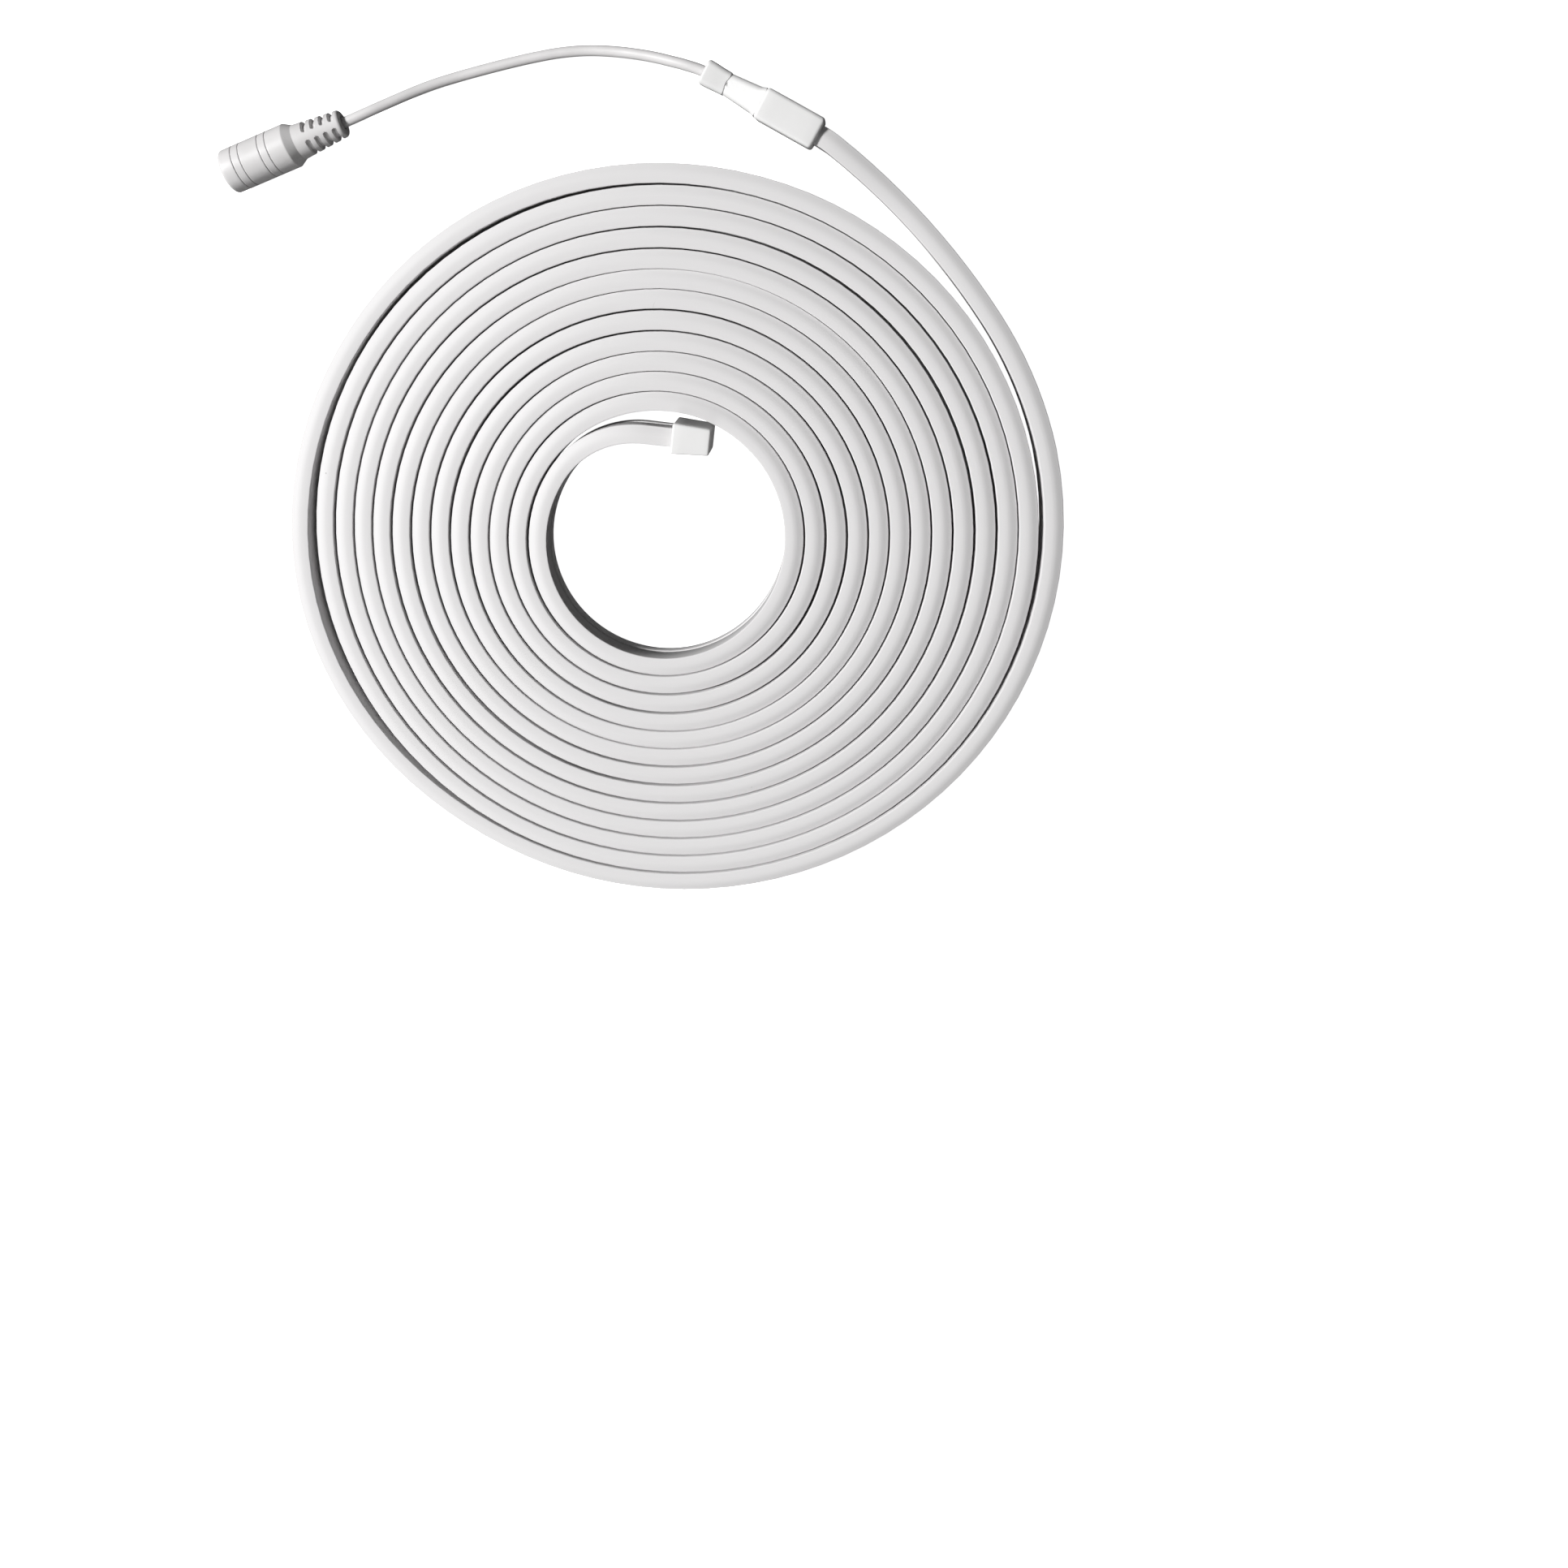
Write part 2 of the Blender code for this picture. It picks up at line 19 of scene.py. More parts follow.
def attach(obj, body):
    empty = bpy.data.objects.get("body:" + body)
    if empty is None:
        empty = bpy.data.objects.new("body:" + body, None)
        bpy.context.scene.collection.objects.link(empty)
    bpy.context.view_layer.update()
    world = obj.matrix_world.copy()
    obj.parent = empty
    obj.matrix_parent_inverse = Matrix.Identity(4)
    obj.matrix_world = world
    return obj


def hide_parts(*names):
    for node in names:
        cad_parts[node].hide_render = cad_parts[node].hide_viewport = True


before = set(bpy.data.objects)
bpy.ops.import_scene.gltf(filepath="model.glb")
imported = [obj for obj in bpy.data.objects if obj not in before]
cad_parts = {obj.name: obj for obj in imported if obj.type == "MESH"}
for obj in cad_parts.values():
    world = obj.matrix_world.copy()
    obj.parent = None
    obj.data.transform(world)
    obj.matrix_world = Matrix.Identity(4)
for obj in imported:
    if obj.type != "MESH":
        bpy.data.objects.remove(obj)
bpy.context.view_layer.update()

LOG = logging.getLogger("neon_flex_scene")
BODY = "root"
COIL_AXIS = Vector((-0.001039, -0.010141, 0.0))
CLEARANCE = 0.0003

Material = bpy.types.Material
Mesh = bmesh.types.BMesh
Object = bpy.types.Object
Colour = tuple[float, float, float]
Ring = list[Vector]


class Slot(Enum):
    """Material slots that the record of the part names."""

    SILICONE = "milky_silicone"
    MOULDING = "white_moulding"
    JACKET = "white_jacket"
    PLATING = "plated_metal"


class Value:
    """A number socket that takes part in sums, each of which adds its Math node."""

    def __init__(self, graph: "Graph", socket: bpy.types.NodeSocket) -> None:
        """Wrap an output socket of a graph."""
        self.graph = graph
        self.socket = socket

    def __add__(self, other: "Number") -> "Value":
        """Return self + other."""
        return self.graph.maths("ADD", self, other)

    __radd__ = __add__

    def __sub__(self, other: "Number") -> "Value":
        """Return self - other."""
        return self.graph.maths("SUBTRACT", self, other)

    def __rsub__(self, other: "Number") -> "Value":
        """Return other - self."""
        return self.graph.maths("SUBTRACT", other, self)

    def __mul__(self, other: "Number") -> "Value":
        """Return self * other."""
        return self.graph.maths("MULTIPLY", self, other)

    __rmul__ = __mul__

    def __truediv__(self, other: "Number") -> "Value":
        """Return self / other."""
        return self.graph.maths("DIVIDE", self, other)

    def __abs__(self) -> "Value":
        """Return the size of self without its sign."""
        return self.graph.maths("ABSOLUTE", self)

    def rising(self, low: float, high: float) -> "Value":
        """Return a smooth step from 0 to 1 while self rises from low to high.

        Args:
            low: Where the step starts.
            high: Where the step ends. It may be below low, and the step then falls.

        Returns:
            The stepped value.
        """
        if high < low:
            return 1 - self.rising(high, low)
        made = self.graph.node("ShaderNodeMapRange", {"interpolation_type": "SMOOTHSTEP"},
                               {"Value": self, "From Min": low, "From Max": high})
        return Value(self.graph, made.outputs["Result"])


Number = Union[Value, float]


class Graph:
    """The nodes of one material, round one Principled shader."""

    def __init__(self, name: str) -> None:
        """Start a material.

        Args:
            name: The name of the material.
        """
        self.material = bpy.data.materials.new(name)
        self.material.use_nodes = True
        self.tree = self.material.node_tree
        self.tree.nodes.clear()

    def node(self, kind: str, settings: Mapping[str, object] | None = None,
             inputs: Mapping[Union[str, int], object] | None = None) -> bpy.types.Node:
        """Make a node of any kind.

        Args:
            kind: The type name of the node.
            settings: Properties to set first.
            inputs: Values or links of its sockets, by name or number.

        Returns:
            The new node.
        """
        made = self.tree.nodes.new(kind)
        for name, setting in (settings or {}).items():
            setattr(made, name, setting)
        for key, value in (inputs or {}).items():
            if isinstance(value, Value):
                self.tree.links.new(value.socket, made.inputs[key])
            else:
                made.inputs[key].default_value = value
        return made

    def maths(self, operation: str, *terms: Number) -> Value:
        """Add a Math node over its terms in order, and return its result."""
        made = self.node("ShaderNodeMath", {"operation": operation}, dict(enumerate(terms)))
        return Value(self, made.outputs[0])

    def mix(self, share: Number, first: object, second: object) -> Value:
        """Mix two colours, or Values that carry one.

        Args:
            share: How much of the second shows.
            first: One colour.
            second: The other colour.

        Returns:
            The mixed colour.
        """
        colours = [c if isinstance(c, Value) else (*c, 1.0) for c in (first, second)]
        made = self.node("ShaderNodeMix", {"data_type": "RGBA"},
                         {0: share, 6: colours[0], 7: colours[1]})
        return Value(self, made.outputs[2])

    def place(self) -> Value:
        """Return the object coordinates."""
        return Value(self, self.node("ShaderNodeTexCoord").outputs["Object"])

    def stored(self, name: str) -> Value:
        """Return a number that is stored on the mesh."""
        made = self.node("ShaderNodeAttribute", {"attribute_name": name})
        return Value(self, made.outputs["Fac"])

    def join(self, x: Number, y: Number, z: Number = 0.0) -> Value:
        """Return a vector of three numbers."""
        made = self.node("ShaderNodeCombineXYZ", inputs={"X": x, "Y": y, "Z": z})
        return Value(self, made.outputs["Vector"])

    def split(self, vector: Value) -> tuple[Value, Value, Value]:
        """Return the three numbers of a vector."""
        made = self.node("ShaderNodeSeparateXYZ", inputs={"Vector": vector})
        return tuple(Value(self, made.outputs[axis]) for axis in "XYZ")

    def noise(self, vector: Value, scale: float, detail: float = 2.0,
              roughness: float = 0.5) -> Value:
        """Add a noise pattern of so many features per metre, and return it, round 0.5."""
        made = self.node("ShaderNodeTexNoise", inputs={
            "Vector": vector, "Scale": scale, "Detail": detail, "Roughness": roughness})
        return Value(self, made.outputs[0])

    def specks(self, vector: Value, spacing: float, radius: float, share: float) -> Value:
        """Add scattered round specks.

        Args:
            vector: Where the pattern is read.
            spacing: The mean distance between places that may hold a speck.
            radius: The radius of the largest speck.
            share: The share of the places that hold one.

        Returns:
            A mask that is 1 on the specks.
        """
        cells = self.node("ShaderNodeTexVoronoi", inputs={"Vector": vector, "Scale": 1 / spacing})
        chance = self.split(Value(self, cells.outputs["Color"]))[0]
        near = Value(self, cells.outputs["Distance"]) / (radius / spacing)
        return near.rising(1.0, 0.6) * chance.rising(1 - share, 1.0)

    def fibres(self, vector: Value, spacing: float, length: float, share: float) -> Value:
        """Add a mask of scattered short curled fibres of lint, of a rough length."""
        line = abs(self.noise(vector, 0.9 / length, 1.0) - 0.5).rising(0.012, 0.004)
        return line * self.specks(vector, spacing, length / 2, share)

    def bumps(self, height: Value, depth: float, normal: Value | None = None) -> Value:
        """Turn a height pattern into a bumped normal.

        Args:
            height: The pattern, from 0 to 1.
            depth: The height in metres at 1.
            normal: A normal to bump further.

        Returns:
            The normal.
        """
        inputs: dict[Union[str, int], object] = {"Height": height, "Distance": depth}
        if normal:
            inputs["Normal"] = normal
        return Value(self, self.node("ShaderNodeBump", inputs=inputs).outputs["Normal"])

    def finish(self, **sockets: object) -> Material:
        """Close the graph with its Principled shader.

        Args:
            sockets: Values of its sockets, with _ for each space in a name.

        Returns:
            The material.
        """
        inputs = {name.replace("_", " "): value for name, value in sockets.items()}
        shader = self.node("ShaderNodeBsdfPrincipled", inputs=inputs)
        output = self.node("ShaderNodeOutputMaterial")
        self.tree.links.new(shader.outputs[0], output.inputs["Surface"])
        return self.material


@dataclass(frozen=True)
class SiliconeFinish:
    """Milky silicone of the flex, with a greyer band in the recess along each side."""

    crown: Colour = (0.632, 0.624, 0.626)
    lip: Colour = (0.680, 0.674, 0.674)
    band: Colour = (0.500, 0.494, 0.496)
    dust: Colour = (0.300, 0.290, 0.280)
    band_low: float = 0.00292
    band_high: float = 0.00465
    roughness: float = 0.56

    def material(self) -> Material:
        """Return the material of the flex."""
        graph = Graph("milky_silicone")
        place = graph.place()
        run, girth, level = (graph.stored(name) for name in ("run", "girth", "level"))
        cloud = graph.noise(place, 55.0, 3.0)
        streak = graph.noise(graph.join(run * 9.0, girth * 2600.0), 1.0, 2.0)
        grain = graph.noise(place, 5200.0, 1.0)
        in_band = (level.rising(self.band_low - 0.0001, self.band_low)
                   * level.rising(self.band_high, self.band_high - 0.0001))
        body = graph.mix(level.rising(0.0030, 0.0052), self.lip, self.crown)
        body = graph.mix(in_band, body, self.band)
        body = graph.mix(cloud.rising(0.35, 0.70) * 0.10, body, (0.600, 0.588, 0.586))
        body = graph.mix(streak.rising(0.50, 0.80) * 0.08, body, (0.720, 0.716, 0.716))
        dust = graph.specks(place, 0.0075, 0.00028, 0.22)
        lint = graph.fibres(place, 0.020, 0.0030, 0.30)
        marks = graph.maths("MAXIMUM", dust * 0.75, lint * 0.55)
        colour = graph.mix(marks, body, self.dust)
        rough = self.roughness + (cloud - 0.5) * 0.18 + (streak - 0.5) * 0.10 + marks * 0.3
        normal = graph.bumps(streak, 0.000010, graph.bumps(grain, 0.000004))
        return graph.finish(Base_Color=colour, Roughness=rough, Normal=normal,
                            IOR=1.41, Specular_IOR_Level=0.22)


@dataclass(frozen=True)
class MouldingFinish:
    """White moulded caps with a fine spark-eroded skin and faint handling scuffs."""

    skin: Colour = (0.700, 0.698, 0.694)
    shade: Colour = (0.670, 0.666, 0.662)
    scuff: Colour = (0.560, 0.552, 0.545)
    parting_level: float = 0.0062
    roughness: float = 0.44

    def material(self) -> Material:
        """Return the material of both caps."""
        graph = Graph("white_moulding")
        place = graph.place()
        level = graph.split(place)[2]
        cloud = graph.noise(place, 160.0, 3.0)
        skin_grain = graph.noise(place, 3600.0, 2.0, 0.6)
        scratch = abs(graph.noise(graph.join(*self._stretched(graph, place)), 1.0, 1.0) - 0.5)
        scuffs = scratch.rising(0.010, 0.003) * cloud.rising(0.56, 0.68)
        dust = graph.specks(place, 0.0050, 0.00020, 0.20)
        parting = abs(level - self.parting_level).rising(0.00010, 0.00003)
        colour = graph.mix(cloud.rising(0.35, 0.70) * 0.5, self.skin, self.shade)
        colour = graph.mix(graph.maths("MAXIMUM", scuffs * 0.35, dust * 0.6), colour, self.scuff)
        colour = graph.mix(parting * 0.12, colour, self.scuff)
        rough = self.roughness + (cloud - 0.5) * 0.20 + scuffs * 0.12
        normal = graph.bumps(skin_grain, 0.000008)
        normal = graph.bumps(parting, 0.000020, normal)
        return graph.finish(Base_Color=colour, Roughness=rough, Normal=normal,
                            IOR=1.46, Specular_IOR_Level=0.35)

    @staticmethod
    def _stretched(graph: Graph, place: Value) -> tuple[Value, Value, Value]:
        """Return coordinates that draw a noise out into long scratches."""
        x, y, z = graph.split(place)
        return x * 140.0 + y * 60.0, y * 620.0 - x * 260.0, z * 300.0


@dataclass(frozen=True)
class JacketFinish:
    """Satin white plastic of the lead and its socket."""

    name: str = "white_jacket"
    skin: Colour = (0.640, 0.630, 0.630)
    shade: Colour = (0.570, 0.560, 0.558)
    dust: Colour = (0.360, 0.345, 0.335)
    grain_scale: float = 3000.0
    grain_depth: float = 0.000010
    roughness: float = 0.42

    def material(self) -> Material:
        """Return the material of the lead or of the socket."""
        graph = Graph(self.name)
        place = graph.place()
        cloud = graph.noise(place, 210.0, 3.0)
        grain = graph.noise(place, self.grain_scale, 2.0, 0.6)
        dust = graph.specks(place, 0.0045, 0.00018, 0.22)
        colour = graph.mix(cloud.rising(0.35, 0.70) * 0.45, self.skin, self.shade)
        colour = graph.mix(dust * 0.6, colour, self.dust)
        rough = self.roughness + (cloud - 0.5) * 0.22 + dust * 0.2
        return graph.finish(Base_Color=colour, Roughness=rough,
                            Normal=graph.bumps(grain, self.grain_depth),
                            IOR=1.50, Specular_IOR_Level=0.3)


@dataclass(frozen=True)
class PlatingFinish:
    """Bright plating of the contact pin, with fine turning lines round it."""

    bright: Colour = (0.830, 0.820, 0.780)
    dull: Colour = (0.640, 0.610, 0.560)
    roughness: float = 0.20

    def material(self) -> Material:
        """Return the material of the pin."""
        graph = Graph("plated_metal")
        place = graph.place()
        x, y, z = graph.split(place)
        turn = math.radians(DcSocket.heading)
        along = x * math.cos(turn) + y * math.sin(turn)
        lines = graph.noise(graph.join(along * 9000.0, 0.0, z * 40.0), 1.0, 2.0)
        cloud = graph.noise(place, 900.0, 3.0)
        colour = graph.mix(cloud.rising(0.50, 0.75) * 0.7, self.bright, self.dull)
        rough = self.roughness + (cloud - 0.5) * 0.20 + (lines - 0.5) * 0.12
        return graph.finish(Base_Color=colour, Metallic=1.0, Roughness=rough,
                            Normal=graph.bumps(lines, 0.000003))


@dataclass(frozen=True)
class FloorFinish:
    """Pale matt floor that glows evenly as a light table does, but black beneath the turns of the
    coil, which paints shade into the gaps between the turns.
    """

    pale: Colour = (0.900, 0.900, 0.900)
    glow: float = 0.97
    flex: "NeonFlex" = field(default_factory=lambda: NeonFlex())

    def material(self) -> Material:
        """Return the material of the floor."""
        graph = Graph("pale_floor")
        place = graph.place()
        cloud = graph.noise(place, 6.0, 2.0)
        colour = graph.mix(cloud * 0.15, self.pale, (0.880, 0.880, 0.882))
        x, y, _ = graph.split(place)
        x, y = x - COIL_AXIS.x, y - COIL_AXIS.y
        radius = graph.maths("SQRT", x * x + y * y)
        bearing = graph.maths("ARCTAN2", y, x)
        inner = self.turn_radius(graph, bearing, self.flex.start_angle)
        outer = self.turn_radius(graph, bearing, self.flex.end_angle() - 400)
        # Mask of the floor beneath the turns: the glow is cut to black there, which paints shade
        # into the gaps between the turns.
        painted_gap_shade_mask = (radius - inner).rising(-0.0003, 0.0) * (outer - radius).rising(0.0, 0.0003)
        glow_with_painted_gap_shade = graph.mix(painted_gap_shade_mask, (1.0, 1.0, 1.0), (0.0, 0.0, 0.0))
        return graph.finish(Base_Color=colour, Roughness=0.9, Specular_IOR_Level=0.2,
                            Emission_Color=glow_with_painted_gap_shade, Emission_Strength=self.glow)

    def turn_radius(self, graph: Graph, bearing: Value, angle: float) -> Value:
        """Return the radius of a turn at each bearing.

        Args:
            graph: The graph of the floor.
            bearing: The bearing from the axis of the coil.
            angle: The winding angle where the turn starts.

        Returns:
            The radius of its centreline.
        """
        pitch = self.flex.width + self.flex.turn_gap
        start = self.flex.start_radius + pitch * (angle - self.flex.start_angle) / 360
        turned = graph.maths("FLOORED_MODULO", bearing - math.radians(angle), math.tau)
        return start + turned * (pitch / math.tau)


class Sweep:
    """A skin of rings, each extruded from the last, that keeps where each point lies."""

    def __init__(self, first: Ring, run: float = 0.0) -> None:
        """Start a skin.

        Args:
            first: The places of its first ring, in order.
            run: How far along the piece the ring lies.
        """
        self.bm = bmesh.new()
        self.runs = self.bm.verts.layers.float.new("run")
        self.girths = self.bm.verts.layers.float.new("girth")
        self.levels = self.bm.verts.layers.float.new("level")
        self.ring = [self.bm.verts.new(place) for place in first]
        for pair in zip(self.ring, self.ring[1:] + self.ring[:1]):
            self.bm.edges.new(pair)
        self.first = list(self.ring)
        self._note(run)

    def _note(self, run: float) -> None:
        """Keep on each point of the ring how far along, round and up it lies."""
        girth = 0.0
        base = min(vertex.co.z for vertex in self.ring)
        before = self.ring[0]
        for vertex in self.ring:
            girth += (vertex.co - before.co).length
            before = vertex
            vertex[self.runs] = run
            vertex[self.girths] = girth
            vertex[self.levels] = vertex.co.z - base

    def grow(self, places: Ring, run: float = 0.0) -> None:
        """Extrude the last ring.

        Args:
            places: The places of the new ring, in the order of the first.
            run: How far along the piece the ring lies.
        """
        edges = [self.bm.edges.get(pair) for pair in zip(self.ring, self.ring[1:] + self.ring[:1])]
        made = bmesh.ops.extrude_edge_only(self.bm, edges=edges)["geom"]
        fresh = {item for item in made if isinstance(item, bmesh.types.BMVert)}
        partners = []
        for vertex, place in zip(self.ring, places):
            partner = next(edge.other_vert(vertex) for edge in vertex.link_edges
                           if edge.other_vert(vertex) in fresh)
            partner.co = place
            partners.append(partner)
        self.ring = partners
        self._note(run)

    def close(self) -> Mesh:
        """Close both ends and return the mesh."""
        self.bm.faces.new(self.first)
        self.bm.faces.new(self.ring)
        return self.bm


def add_object(name: str, data: bpy.types.ID) -> Object:
    """Put a new object in the scene.

    Args:
        name: The name of the object.
        data: Its mesh, curve, camera or light.

    Returns:
        The object.
    """
    made = bpy.data.objects.new(name, data)
    bpy.context.scene.collection.objects.link(made)
    return made


def add_piece(name: str, bm: Mesh, place: Matrix, material: Material,
              slot: Slot, node: str, sharp: float = 35.0) -> Object:
    """Turn a mesh into a piece of the part.

    Args:
        name: The name of the piece.
        bm: Its mesh, which is used up.
        place: Where its own axes lie in the frame of the part.
        material: Its finish.
        slot: The record's slot that the finish belongs to.
        node: The CAD node that it stands for.
        sharp: The angle above which an edge stays crisp.

    Returns:
        The piece, riding on the part.
    """
    bmesh.ops.remove_doubles(bm, verts=bm.verts, dist=1e-7)
    bmesh.ops.transform(bm, matrix=place, verts=bm.verts)
    bmesh.ops.recalc_face_normals(bm, faces=bm.faces)
    mesh = bpy.data.meshes.new(name)
    bm.to_mesh(mesh)
    bm.free()
    mesh.shade_smooth()
    mesh.set_sharp_from_angle(angle=math.radians(sharp))
    mesh.materials.append(material)
    return settle(add_object(name, mesh), slot, node)


def settle(piece: Object, slot: Slot, node: str) -> Object:
    """Make a piece ride on the part in the place of its CAD node, and report it.

    Args:
        piece: The finished piece.
        slot: The record's slot that its finish belongs to.
        node: The CAD node that it stands for.

    Returns:
        The same piece.
    """
    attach(piece, BODY)
    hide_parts(node)
    count = len(piece.data.polygons) if piece.type == "MESH" else 0
    LOG.info("%s stands for %s: %d faces, %s", piece.name, node, count, slot.value)
    return piece


def lathe(profile: Iterable[tuple[float, float]], sides: int) -> Mesh:
    """Turn a profile about X.

    Args:
        profile: Places along X and their radii, which start and end on the axis.
        sides: The number of sides round the axis.

    Returns:
        The closed mesh.
    """
    bm = bmesh.new()
    points = [bm.verts.new((x, 0.0, radius)) for x, radius in profile]
    edges = [bm.edges.new(pair) for pair in zip(points, points[1:])]
    bmesh.ops.spin(bm, geom=points + edges, cent=(0, 0, 0), axis=(1, 0, 0), angle=math.tau,
                   steps=sides, use_merge=True, use_duplicate=False)
    bmesh.ops.remove_doubles(bm, verts=bm.verts, dist=1e-7)
    return bm


def ease(value: float) -> float:
    """Return a smooth rise from 0 to 1 while the value runs from 0 to 1."""
    value = min(max(value, 0.0), 1.0)
    return value * value * (3 - 2 * value)


def direction(heading: float) -> Vector:
    """Return the level unit vector of a heading."""
    return Vector((math.cos(math.radians(heading)), math.sin(math.radians(heading)), 0.0))


def seat(mouth: Vector, heading: float) -> Matrix:
    """Return the axes of a piece that starts at its mouth and points along a heading."""
    turn = Matrix.Rotation(math.radians(heading), 4, "Z")
    return Matrix.Translation(mouth + COIL_AXIS) @ turn


def quarter(steps: int) -> list[tuple[float, float]]:
    """Return sine and cosine at even steps over a quarter turn."""
    angles = [math.pi / 2 * step / steps for step in range(steps + 1)]
    return [(math.sin(angle), math.cos(angle)) for angle in angles]


@dataclass(frozen=True)
class Station:
    """One place along the flex."""

    place: Vector
    lift: float
    run: float


@dataclass
class NeonFlex:
    """The flex: one milky section swept along the spiral and out to both of its ends."""

    width: float = 0.00445
    height: float = 0.0095
    foot_round: float = 0.00030
    lip_height: float = 0.00285
    lip_round: float = 0.00030
    recess_height: float = 0.0019
    recess_depth: float = 0.00025
    dome_apex: float = -0.00045
    dome_curves: tuple[float, float] = (228.0, 58.5)
    dome_slope: float = 0.354
    dome_edge: float = 0.00020
    dome_steps: int = 8
    turn_gap: float = 0.00035
    start_angle: float = 150.0
    start_radius: float = 0.02953
    winding_turns: float = 12.625
    step_angle: float = 3.75
    inner_shift: tuple[float, float] = (-0.00034, 0.00013)
    outer_shift: tuple[float, float] = (0.00025, 0.00013)
    inner_oval: tuple[float, float] = (-0.00024, 0.00015)
    outer_oval: tuple[float, float] = (0.00084, 0.00015)
    slacks: tuple[tuple[float, float, float], ...] = (
        (0.0018, 105.0, 127.5), (0.0004, 120.0, 185.0))
    swing_width: float = 0.0009
    swing_length_angle: float = 100.0
    wander: tuple[tuple[float, float, float], ...] = (
        (0.000105, 0.83, 0.4), (0.000066, 1.27, 2.1), (0.000034, 2.31, 4.0))
    inner_bend_radius: float = 0.0228
    inner_bend_angle: float = 65.5
    inner_tail: float = 0.0139
    feed_bends: tuple[tuple[float, float, int], ...] = (
        (0.0956, 19.5, 9), (0.1684, 18.0, 12), (0.0273, 9.0, 5))
    feed_tail: float = 0.0086
    lift_length: float = 0.025
    cap_wall: float = 0.00115

    def outline(self) -> list[tuple[float, float]]:
        """Return the section as points across and up, from the foot round over the dome."""
        half = self.width / 2
        inset = half - self.recess_depth
        low = self.lip_height
        high = low + self.recess_height
        right = [(half - self.foot_round * (1 - s), self.foot_round * (1 - c))
                 for s, c in quarter(3)]
        right += [(inset + (half - inset) * c, low - self.lip_round * (1 - s))
                  for s, c in quarter(3)]
        right += [(inset, low + 0.00012), (inset, high - 0.00016),
                  (inset + 0.00006, high - 0.00009), (half - 0.00004, high - 0.00003),
                  (half, high + 0.00008)]
        left = [(-across, up) for across, up in reversed(right)]
        outer, inner = (self.half_dome(way * self.dome_apex, curve)
                        for way, curve in zip((1, -1), self.dome_curves))
        crown = [(-across, up) for across, up in reversed(inner)]
        return right + outer + [(self.dome_apex, self.height)] + crown + left

    def fall(self, reach: float, curve: float) -> float:
        """Return how far the dome has fallen at a distance from its top."""
        bent = min(reach, self.dome_slope / curve)
        return curve * bent * (reach - bent / 2)

    def half_dome(self, apex: float, curve: float) -> list[tuple[float, float]]:
        """Return one side of the dome.

        Args:
            apex: How far its top lies towards this side.
            curve: How fast its slope grows, up to the greatest slope.

        Returns:
            The points, from the side of the flex up to the top, which isn't among them.
        """
        half, edge = self.width / 2, self.dome_edge
        rim = half - edge
        level = self.height - self.fall(rim - apex, curve)
        slope = min(curve * (rim - apex), self.dome_slope)
        points = [(rim + edge * c, level - edge * (1 - s) * (1 + slope * 0.5))
                  for s, c in quarter(4)[:-1]]
        reaches = [(rim - apex) * (1 - step / self.dome_steps) for step in range(self.dome_steps)]
        return points + [(apex + reach, self.height - self.fall(reach, curve))
                         for reach in reaches]

    def end_angle(self) -> float:
        """Return the winding angle where the feed end leaves the coil."""
        return self.start_angle + 360 * self.winding_turns

    def off_circle(self, angle: float) -> float:
        """Return how far a turn lies outside the true spiral at a winding angle."""
        share = (angle - self.start_angle) / (360 * self.winding_turns)
        shift = Vector(self.inner_shift).lerp(Vector(self.outer_shift), share)
        oval = Vector(self.inner_oval).lerp(Vector(self.outer_oval), share)
        return shift.dot(direction(angle).to_2d()) + oval.dot(direction(2 * angle).to_2d())

    def winding_place(self, angle: float) -> Vector:
        """Return the place of the flex at a winding angle.

        Args:
            angle: The winding angle, which counts up along the flex.

        Returns:
            The place in plan.
        """
        turned = angle - self.start_angle
        radius = self.start_radius + (self.width + self.turn_gap) * turned / 360
        radius += self.off_circle(angle)
        to_end = self.end_angle() - angle
        for width, length, ends in self.slacks:
            share = min(max((to_end - ends) / length, 0.0), 1.0)
            radius += width * math.sin(math.pi * share) ** 2
        radius += self.swing_width * max(1 - to_end / self.swing_length_angle, 0.0) ** 2
        held = ease(turned / 200) * ease(to_end / 200)
        radius += held * sum(size * math.sin(math.radians(angle) * rate + phase)
                             for size, rate, phase in self.wander)
        return direction(angle) * radius

    @staticmethod
    def arc(start: Vector, heading: float, radius: float, angle: float, steps: int) -> list[Vector]:
        """Return the places along an arc.

        Args:
            start: Where the arc starts.
            heading: The heading there.
            radius: Its radius, negative where it turns right.
            angle: How far it turns.
            steps: The number of places.

        Returns:
            The places after the start.
        """
        turn = math.copysign(angle, radius)
        centre = start + direction(heading + 90) * radius
        return [centre - direction(heading + 90 + turn * step / steps) * radius
                for step in range(1, steps + 1)]

    def places(self) -> list[Vector]:
        """Return the centreline in plan, from the inner end to the feed end."""
        end = self.end_angle()
        count = round((end - self.start_angle) / self.step_angle)
        winding = [self.winding_place(self.start_angle + self.step_angle * step)
                   for step in range(count + 1)]
        back = self.start_angle - 90
        inner = self.arc(winding[0], back, -self.inner_bend_radius, self.inner_bend_angle, 20)
        along = direction(back - self.inner_bend_angle) * self.inner_tail / 6
        inner += [inner[-1] + along * step for step in range(1, 7)]
        heading = end + 90
        for radius, angle, steps in self.feed_bends:
            winding += self.arc(winding[-1], heading, radius, angle, steps)
            heading += angle
        along = direction(heading) * self.feed_tail / 4
        tail = [winding[-1] + along * step for step in range(1, 5)]
        return inner[::-1] + winding + tail

